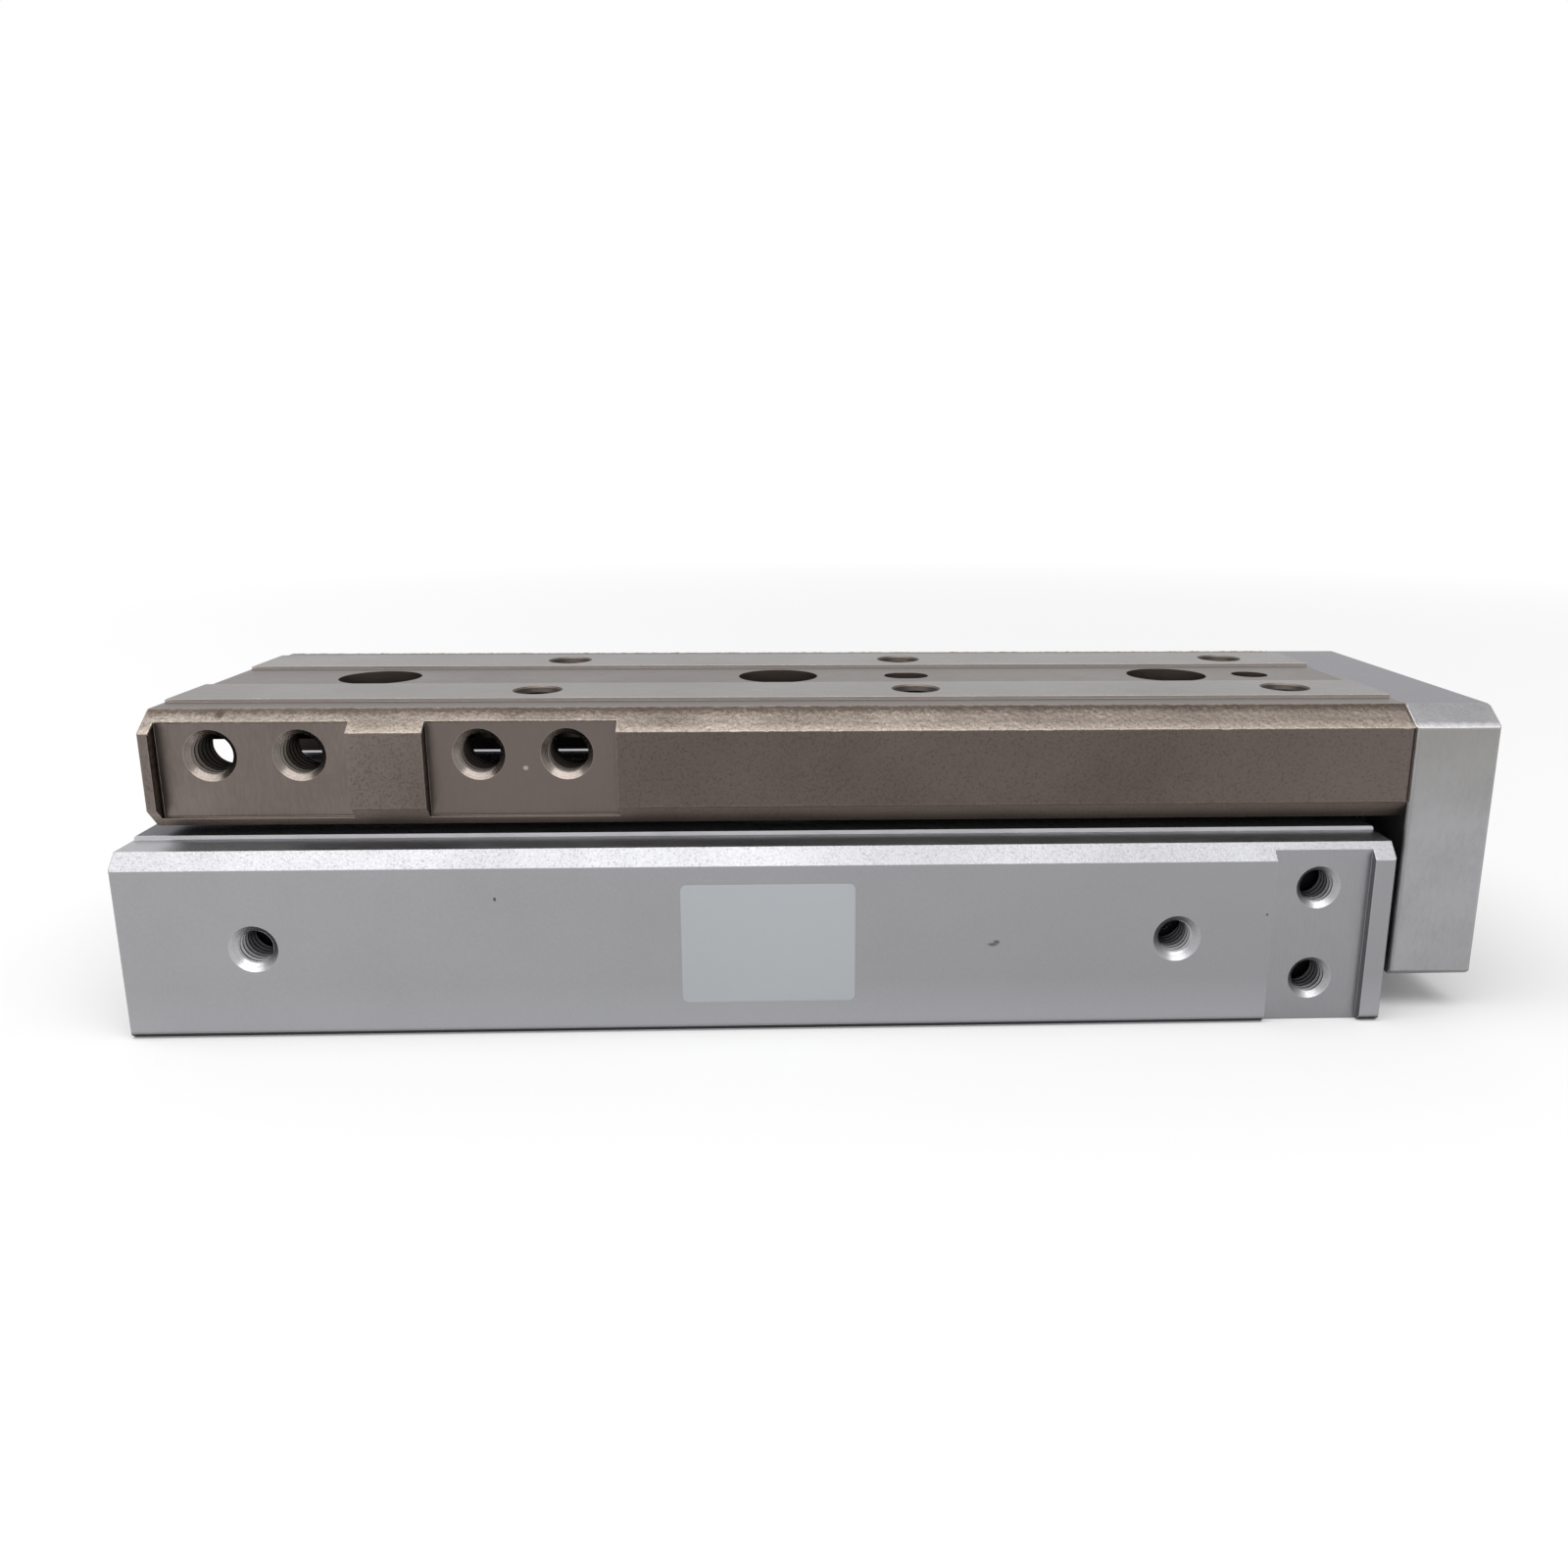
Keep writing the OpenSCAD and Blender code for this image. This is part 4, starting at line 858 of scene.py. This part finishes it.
@dataclass
class CylinderBody:
    """The body with its two cylinders, its ports, its side pad and its bare label."""

    port_x: Pair = (-68.2, 44.2)  # the ports' places along the body
    port_z: float = 11.5  # height of the ports
    port_depth: float = 6.2  # depth of the ports' threads
    port_mouth: float = 0.45  # extra radius of the ports' countersinks
    pad_depth: float = 1.1  # depth of the milled pad on the side
    pad_ends: Pair = (56.1, 68.3)  # the pad's two ends along the body
    pad_top: float = 22.7  # the pad's upper edge
    pad_hole_x: float = 61.9  # place of the pad's threads along the body
    pad_hole_z: Pair = (5.6, 17.6)  # heights of the pad's threads
    pad_hole_depth: float = 5.2  # depth of the pad's threads
    pad_mouth: float = 0.25  # extra radius of the pad's countersinks
    hole_reach: float = 7.0  # depth within which the side's threads end
    label_x: Pair = (-16.9, 4.3)  # the label's two ends
    label_z: Pair = (3.9, 19.1)  # the label's lower and upper edge
    label_t: float = 0.05  # the label's thickness
    label_r: float = 0.8  # radius of the label's corners
    label_sink: float = 0.02  # how far the label is sunk into the side
    label_rim: float = 0.02  # width of the label's sloping rim
    label_rise: float = 0.005  # height of that rim
    chamfer_z: float = 21.0  # height above which slopes are chamfers
    ledge_z: float = 23.3  # height of the ledges beside the table
    top_z: float = 23.8  # height of the body's top
    core_y: float = 6.0  # half the width that holds the mounting holes
    side_y: float = -30.0  # the right side, taken from the CAD node

    def build(self) -> None:
        """Makes the threads and the label, and dresses the CAD nodes."""
        self.side_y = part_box("cylinder_body")[0].y / MM
        ports = [(x, self.side_y, self.port_z) for x in self.port_x]
        pad = [(self.pad_hole_x, self.side_y + self.pad_depth, z) for z in self.pad_hole_z]
        for name, depth, mouth, mouths in (
            ("port_threads", self.port_depth, self.port_mouth, ports),
            ("side_pad_threads", self.pad_hole_depth, self.pad_mouth, pad),
        ):
            TappedHoles(
                name, Thread.M5, depth, mouth, LEFT, mouths, Carrier.HOUSING, Slot.BODY,
                DEEP_THREAD_ALUMINIUM,
            ).build()
        self.label()
        dress(
            "cylinder_body", ANODISED_BODY, MILLED_BODY, DEEP_THREAD_ALUMINIUM, ANODISED_CHAMFER,
            BRIGHT_CUT, OILED_SHADED_BODY, zone=self.zone,
        )
        dress(
            "head_cap_left head_cap_right rod_cover_left rod_cover_right piston_crown_left "
            "piston_crown_right piston_collars", CAP_ALUMINIUM
        )
        dress("piston_rod_left piston_rod_right", CHROME)
        dress("head_cap_o_rings rod_cover_o_rings rod_seals piston_seals", NITRILE)
        dress("head_cap_snap_rings rod_cover_snap_rings", BLACK_OXIDE)
        dress("rear_bumpers front_bumpers", URETHANE)
        dress("piston_magnets", MAGNET)
        dress("wear_rings", RESIN)
        dress("piston_nuts", TURNED_STEEL)

    def zone(self, middle: Vector, normal: Vector) -> Surface:
        """Tells the etched skin from the worked faces.

        Args:
            middle: The face's middle, in mm.
            normal: The face's normal.

        Returns:
            The face's finish.
        """
        x, y, z = middle
        deep = y - self.side_y
        holes = [(port, self.port_z, self.port_mouth) for port in self.port_x]
        holes += [(self.pad_hole_x, height, self.pad_mouth) for height in self.pad_hole_z]
        for hole_x, hole_z, mouth in holes:
            wide = Thread.M5.value.radius + mouth + NEAR
            if math.hypot(x - hole_x, z - hole_z) < wide and deep < self.hole_reach:
                return DEEP_THREAD_ALUMINIUM
        rear, front = self.pad_ends
        on_pad = rear - NEAR < x < front + NEAR and z < self.pad_top + NEAR
        if on_pad and NEAR / 10 < deep < self.pad_depth + NEAR:
            return MILLED_BODY
        if z > self.ledge_z - NEAR and abs(normal.x) < SQUARE:
            seat = normal.z > SQUARE and z > self.top_z - NEAR
            return OILED_SHADED_BODY if seat else BRIGHT_CUT
        if z > self.chamfer_z and sloping(normal):
            return ANODISED_CHAMFER
        worked = abs(normal.x) > SQUARE or abs(y) < self.core_y
        return MILLED_BODY if worked else ANODISED_BODY

    def label(self) -> None:
        """Makes the bare label: a thin film with rounded corners on the right side."""
        x0, x1 = self.label_x
        z0, z1 = self.label_z
        middle_y = self.side_y + (self.label_sink - self.label_t) / 2
        deselect_all()
        bpy.ops.mesh.primitive_cube_add(
            size=1, location=Vector(((x0 + x1) / 2, middle_y, (z0 + z1) / 2)) * MM
        )
        thick = self.label_t + self.label_sink
        label = stretch("label_plate", Vector((x1 - x0, thick, z1 - z0)) * MM)
        with editing(label, "EDGE") as mesh:
            choose(mesh, mesh.edges, lambda p, n: abs(n.y) > SQUARE)
            bpy.ops.mesh.bevel(offset=self.label_r * MM, segments=8, affect="EDGES")
        with editing(label, "FACE") as mesh:
            choose(mesh, mesh.faces, lambda p, n: n.y < -SQUARE)
            bpy.ops.mesh.inset(thickness=self.label_rim * MM)
            bpy.ops.transform.translate(value=(0, -self.label_rise * MM, 0))
        smooth(label, 20)
        hand_over(label, Carrier.HOUSING, Slot.FILM, LABEL_FILM)


class BallGuide:
    """The recirculating ball guide on top of the body."""

    def build(self) -> None:
        """Dresses the guide's CAD nodes."""
        dress("guide_block", GROUND_STEEL)
        dress("guide_block_screws", BLACK_OXIDE)
        dress("return_guide_rear return_guide_front", RESIN)
        dress("scraper_rear scraper_front", NITRILE)
        dress("return_guide_screws", TURNED_STEEL)
        dress("ball_circuit_left ball_circuit_right", BALL_STEEL)


@dataclass
class SlideTable:
    """The cast table: its ground lands, milled pads and tapped holes."""

    top_from_front: float = 11.4  # the front pair of top threads, from the table's end
    top_pitch: float = 49.0  # pitch of the top threads
    top_y: float = 12.85  # the top threads, from the middle
    roof: float = 5.5  # thickness of the table's roof
    side_from_rear: tuple[float, ...] = (7.4, 18.0, 39.4, 50.0)  # to the side threads
    side_z: float = 34.15  # height of the side threads
    side_near: float = 3.16  # radius that holds a side thread's walls
    pad_y: float = -24.4  # the milled pads' place across the table
    pads_x: tuple[Pair, Pair] = ((-79.4, -56.4), (-47.4, -24.4))  # both pads' ends
    pad_z: Pair = (26.5, 38.3)  # the pads' lower and upper edge
    wall_y: float = 17.6  # the channel's wall
    land_z: float = 40.0  # height of the lands
    step: float = 0.45  # depth below the lands that holds the grooves
    bored_y: float = 18.4  # half the width that holds the bored walls
    mouth: float = 0.2  # extra radius of the countersinks
    # The shoulders' upper and lower edge, as y and z in mm.
    shoulder: tuple[Pair, Pair] = ((22.8, 39.6), (26.3, 37.2))
    shoulder_up: float = 0.6  # least upward share of a shoulder's normal
    skin_in: float = 0.1  # how far the shoulders' skins keep from the table's ends
    skin_cell: float = 0.2  # size of the skins' faces
    skin_root: float = 0.3  # how deep the skins reach into the casting
    # The skins' reliefs: name, size and height in mm, direction and middle level.
    reliefs: tuple[tuple[str, float, float, str, float], ...] = (
        ("lumps", 0.5, 0.18, "Z", 0.35), ("ragged", 0.8, 0.25, "Y", 0.5),
    )
    side_x: tuple[float, ...] = ()  # the side threads, taken from the CAD node

    def build(self) -> None:
        """Makes the threads and the shoulders' skins, and dresses the table's CAD node."""
        low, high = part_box("slide_table")
        front = high.x / MM - self.top_from_front
        top_x = [front - i * self.top_pitch for i in range(3)]
        self.side_x = tuple(low.x / MM + d for d in self.side_from_rear)
        TappedHoles(
            "table_top_threads", Thread.M6, self.roof, self.mouth, DOWN,
            [(x, s * self.top_y, self.land_z) for x in top_x for s in (-1, 1)],
            Carrier.TABLE, Slot.CASTING, THREAD_NICKEL,
        ).build()
        TappedHoles(
            "table_side_threads", Thread.M6, -self.pad_y - self.wall_y, self.mouth, LEFT,
            [(x, self.pad_y, self.side_z) for x in self.side_x],
            Carrier.TABLE, Slot.CASTING, DEEP_THREAD_NICKEL,
        ).build()
        for edge in ("left", "right"):
            hand_over(self.skin(edge), Carrier.TABLE, Slot.CASTING, CAST_SHOULDER)
        dress(
            "slide_table", CAST_NICKEL, GROUND_NICKEL, MILLED_NICKEL, PAD_NICKEL, STAINED_SHADED_NICKEL,
            DEEP_THREAD_NICKEL, OILED_SHADED_NICKEL, CAST_SHOULDER, BORED_NICKEL, zone=self.zone,
        )

    def skin(self, edge: str) -> Object:
        """Makes the rough cast skin of one shoulder, in real relief.

        Args:
            edge: "left" for the +Y shoulder, "right" for the one above the pads.

        Returns:
            The skin.
        """
        low, high = (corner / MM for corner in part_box("slide_table"))
        middle_x = (low.x + high.x) / 2
        length = high.x - low.x - 2 * self.skin_in
        (top_y, top_z), (out_y, out_z) = self.shoulder
        width = math.hypot(out_y - top_y, out_z - top_z)
        deselect_all()
        bpy.ops.mesh.primitive_grid_add(
            x_subdivisions=round(length / self.skin_cell),
            y_subdivisions=round(width / self.skin_cell), size=1,
        )
        skin = stretch("shoulder_skin_" + edge, (length * MM, width * MM, 1))
        if edge == "right":
            pad_edge = width * (-self.pad_y - top_y) / (out_y - top_y) - width / 2
            for pad in self.pads_x:
                self.notch(skin, [(x - middle_x) * MM for x in pad], pad_edge * MM)
        for name, size, height, way, middle in self.reliefs:
            relief = bpy.data.textures.new(f"{name}_{edge}", "CLOUDS")
            relief.noise_scale, relief.noise_depth = size * MM, 2
            apply_modifier(
                skin, "DISPLACE", texture=relief, strength=height * MM, direction=way,
                mid_level=middle, texture_coords="LOCAL",
            )
        apply_modifier(skin, "SOLIDIFY", thickness=self.skin_root * MM, offset=-1.0)
        side, turned = (1, math.pi) if edge == "left" else (-1, 0)
        turn = Matrix.Rotation(turned, 4, "Z")
        tilt = Matrix.Rotation(math.atan2(top_z - out_z, out_y - top_y), 4, "X")
        spot = Vector((middle_x, side * (top_y + out_y) / 2, (top_z + out_z) / 2)) * MM
        place(skin, Matrix.Translation(spot) @ turn @ tilt)
        smooth(skin, 60)
        return skin

    def notch(self, skin: Object, ends: list[float], edge: float) -> None:
        """Cuts a pad's place out of the lower edge of a skin that still lies flat.

        Args:
            skin: The skin.
            ends: The pad's two ends, in metres.
            edge: Where the pad reaches up to across the skin, in metres.
        """
        with editing(skin, "FACE"):
            for spot, way in (((ends[0], 0, 0), FRONT), ((ends[1], 0, 0), FRONT),
                              ((0, edge, 0), LEFT)):
                bpy.ops.mesh.select_all(action="SELECT")
                bpy.ops.mesh.bisect(plane_co=spot, plane_no=way)
        with editing(skin, "FACE") as mesh:
            choose(mesh, mesh.faces, lambda p, n: ends[0] < p.x < ends[1] and p.y < edge)
            bpy.ops.mesh.delete(type="FACE")

    def zone(self, middle: Vector, normal: Vector) -> Surface:
        """Tells the casting's skin from its worked faces.

        Args:
            middle: The face's middle, in mm.
            normal: The face's normal.

        Returns:
            The face's finish.
        """
        x, y, z = middle
        ceiling = self.land_z - self.roof
        if abs(y) < self.wall_y + NEAR and z < ceiling + NEAR:
            return OILED_SHADED_NICKEL
        if normal.z > SQUARE and z > self.land_z - NEAR:
            return GROUND_NICKEL
        if z > self.land_z - self.step and (normal.z > SQUARE or abs(normal.y) > SQUARE):
            return MILLED_NICKEL
        for hole in self.side_x:
            if y < 0 and math.hypot(x - hole, z - self.side_z) < self.side_near:
                return DEEP_THREAD_NICKEL
        if z > ceiling and abs(y) < self.bored_y:
            return BORED_NICKEL
        if sloping(normal) and normal.z > self.shoulder_up:
            return CAST_SHOULDER
        bottom, top = self.pad_z
        for x0, x1 in self.pads_x:
            if x0 - NEAR < x < x1 + NEAR and bottom - NEAR < z < top + NEAR:
                if abs(y - self.pad_y) < NEAR:
                    return PAD_NICKEL
                if y < self.pad_y and normal.x > SQUARE:
                    return STAINED_SHADED_NICKEL
        return CAST_NICKEL


@dataclass
class EndPlate:
    """The end plate, its workpiece threads and the fastenings of table and rods."""

    hole_y: float = 13.0  # distance of the workpiece threads from the middle
    hole_z: Pair = (20.5, 34.5)  # heights of the workpiece threads
    mouth: float = 0.2  # extra radius of the countersinks
    shoulder_y: float = 22.5  # where the shoulders begin, from the middle
    shoulder_z: float = 37.0  # height above which the shoulders lie

    def build(self) -> None:
        """Makes the threads and dresses the CAD nodes."""
        low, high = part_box("end_plate")
        TappedHoles(
            "end_plate_threads", Thread.M6, (high.x - low.x) / MM, self.mouth, REAR,
            [(high.x / MM, s * self.hole_y, z) for s in (-1, 1) for z in self.hole_z],
            Carrier.TABLE, Slot.PLATE, THREAD_ALUMINIUM,
        ).build()
        dress("end_plate", ANODISED_PLATE, PLATE_SHOULDER, zone=self.zone)
        dress("end_plate_screws rod_end_screws", BLACK_OXIDE)
        dress("floating_bushes", BRASS)
        dress("rod_end_washers", TURNED_STEEL)

    def zone(self, middle: Vector, normal: Vector) -> Surface:
        """Tells the brushed faces from the shoulders.

        Args:
            middle: The face's middle, in mm.
            normal: The face's normal.

        Returns:
            The face's finish.
        """
        high = middle.z > self.shoulder_z and abs(middle.y) > self.shoulder_y
        return PLATE_SHOULDER if high and sloping(normal) else ANODISED_PLATE


# ---- The studio ----


@dataclass
class Studio:
    """The floor, the soft light, the white surroundings and the camera."""

    lens: float = 28.555
    sensor: float = 36.0
    shift: Pair = (-0.03087, -0.00486)
    eye: Triple = (-4.329, -172.882, 67.945)  # the camera's place
    pitch: float = 13.929  # how far it looks down, in degrees
    yaw: float = 2.316  # how far it looks to the right of +Y, in degrees
    roll: float = 0.180  # how far it leans, in degrees
    key_spot: Triple = (-60, -170, 620)  # the soft light's place
    key_aim: Triple = (0, 0, 20)  # the point that it faces
    key_size: Pair = (1150, 420)  # its width and depth
    key_level: float = 2.5  # its brightness as seen from the object, where 1 is white
    ambient: float = 0.6  # the surroundings' strength on matt surfaces
    floor_r: float = 12.0  # radius of the floor, in metres
    glow_from: Pair = (0.15, 1.0)  # where the floor's glow rises, in metres from the middle
    glow_to: Pair = (0.08, 0.55)  # its strength at either end

    def build(self) -> None:
        """Sets up the floor, the lamp, the world and the camera."""
        bpy.context.scene.view_settings.view_transform = "Standard"
        self.floor()
        self.key_light()
        self.world()
        self.camera()

    def camera(self) -> None:
        """Sets the camera at the fitted place and angle."""
        data = bpy.data.cameras.new("camera")
        data.sensor_width, data.lens = self.sensor, self.lens
        data.shift_x, data.shift_y = self.shift
        data.clip_start, data.clip_end = 0.005, 100.0
        camera = bpy.data.objects.new("camera", data)
        bpy.context.scene.collection.objects.link(camera)
        stand = Matrix.Translation(Vector(self.eye) * MM)
        for degrees, axis in ((-self.yaw, "Z"), (90 - self.pitch, "X"), (self.roll, "Z")):
            stand @= Matrix.Rotation(math.radians(degrees), 4, axis)
        camera.matrix_world = stand
        bpy.context.scene.camera = camera

    def key_light(self) -> None:
        """Adds the rectangular soft light that faces the object."""
        data = bpy.data.lights.new("key_softbox", "AREA")
        data.shape = "RECTANGLE"
        data.size, data.size_y = (side * MM for side in self.key_size)
        data.energy = self.key_level * math.pi * data.size * data.size_y
        lamp = bpy.data.objects.new("key_softbox", data)
        bpy.context.scene.collection.objects.link(lamp)
        lamp.location = Vector(self.key_spot) * MM
        aim = Vector(self.key_aim) * MM - lamp.location
        lamp.rotation_euler = aim.to_track_quat("-Z", "Y").to_euler()

    def floor(self) -> None:
        """Lays a plain pale floor that shows white and keeps the object's shadow."""
        deselect_all()
        bpy.ops.mesh.primitive_circle_add(vertices=64, radius=self.floor_r, fill_type="NGON")
        floor = bpy.context.object
        floor.name = floor.data.name = "floor"
        made = bpy.data.materials.new("painted floor, pale")
        tree = emptied(made)
        paint = add_node(tree, "BsdfDiffuse", {"Color": "#E8E8E8"})
        where = add_node(tree, "TexCoord").outputs["Object"]
        far = add_node(tree, "VectorMath", [where], operation="LENGTH").outputs["Value"]
        rise = add_node(tree, "MapRange", [far, *self.glow_from, *self.glow_to])
        glow = add_node(tree, "Emission", {"Color": "#FFFFFF", "Strength": rise})
        lit = add_node(tree, "AddShader", [paint, glow])
        shader = add_node(tree, "MixShader", [self.seen(tree), paint, lit])
        add_node(tree, "OutputMaterial", {"Surface": shader})
        floor.data.materials.append(made)

    def world(self) -> None:
        """Surrounds the object with plain white, weaker on matt surfaces."""
        world = bpy.data.worlds.new("white_room")
        bpy.context.scene.world = world
        tree = emptied(world)
        soft, white = (add_node(tree, "Background", ["#FFFFFF", level])
                       for level in (self.ambient, 1.0))
        mixed = add_node(tree, "MixShader", [self.seen(tree), soft, white])
        add_node(tree, "OutputWorld", {"Surface": mixed})

    @staticmethod
    def seen(tree: NodeTree) -> Node:
        """Adds a switch that is 1 for camera, mirror and see-through rays.

        Args:
            tree: The nodes that take it.

        Returns:
            The switch.
        """
        rays = add_node(tree, "LightPath").outputs
        direct = add_node(tree, "Math", [rays["Is Camera Ray"], rays["Is Glossy Ray"]],
                          operation="MAXIMUM")
        return add_node(tree, "Math", [direct, rays["Is Transmission Ray"]], operation="MAXIMUM")


def main() -> None:
    """Builds the sub-assemblies and the studio."""
    logging.basicConfig(level=logging.INFO, format="%(name)s: %(message)s")
    for assembly in (CylinderBody(), BallGuide(), SlideTable(), EndPlate(), Studio()):
        assembly.build()
    deselect_all()


if __name__ == "__main__":
    main()
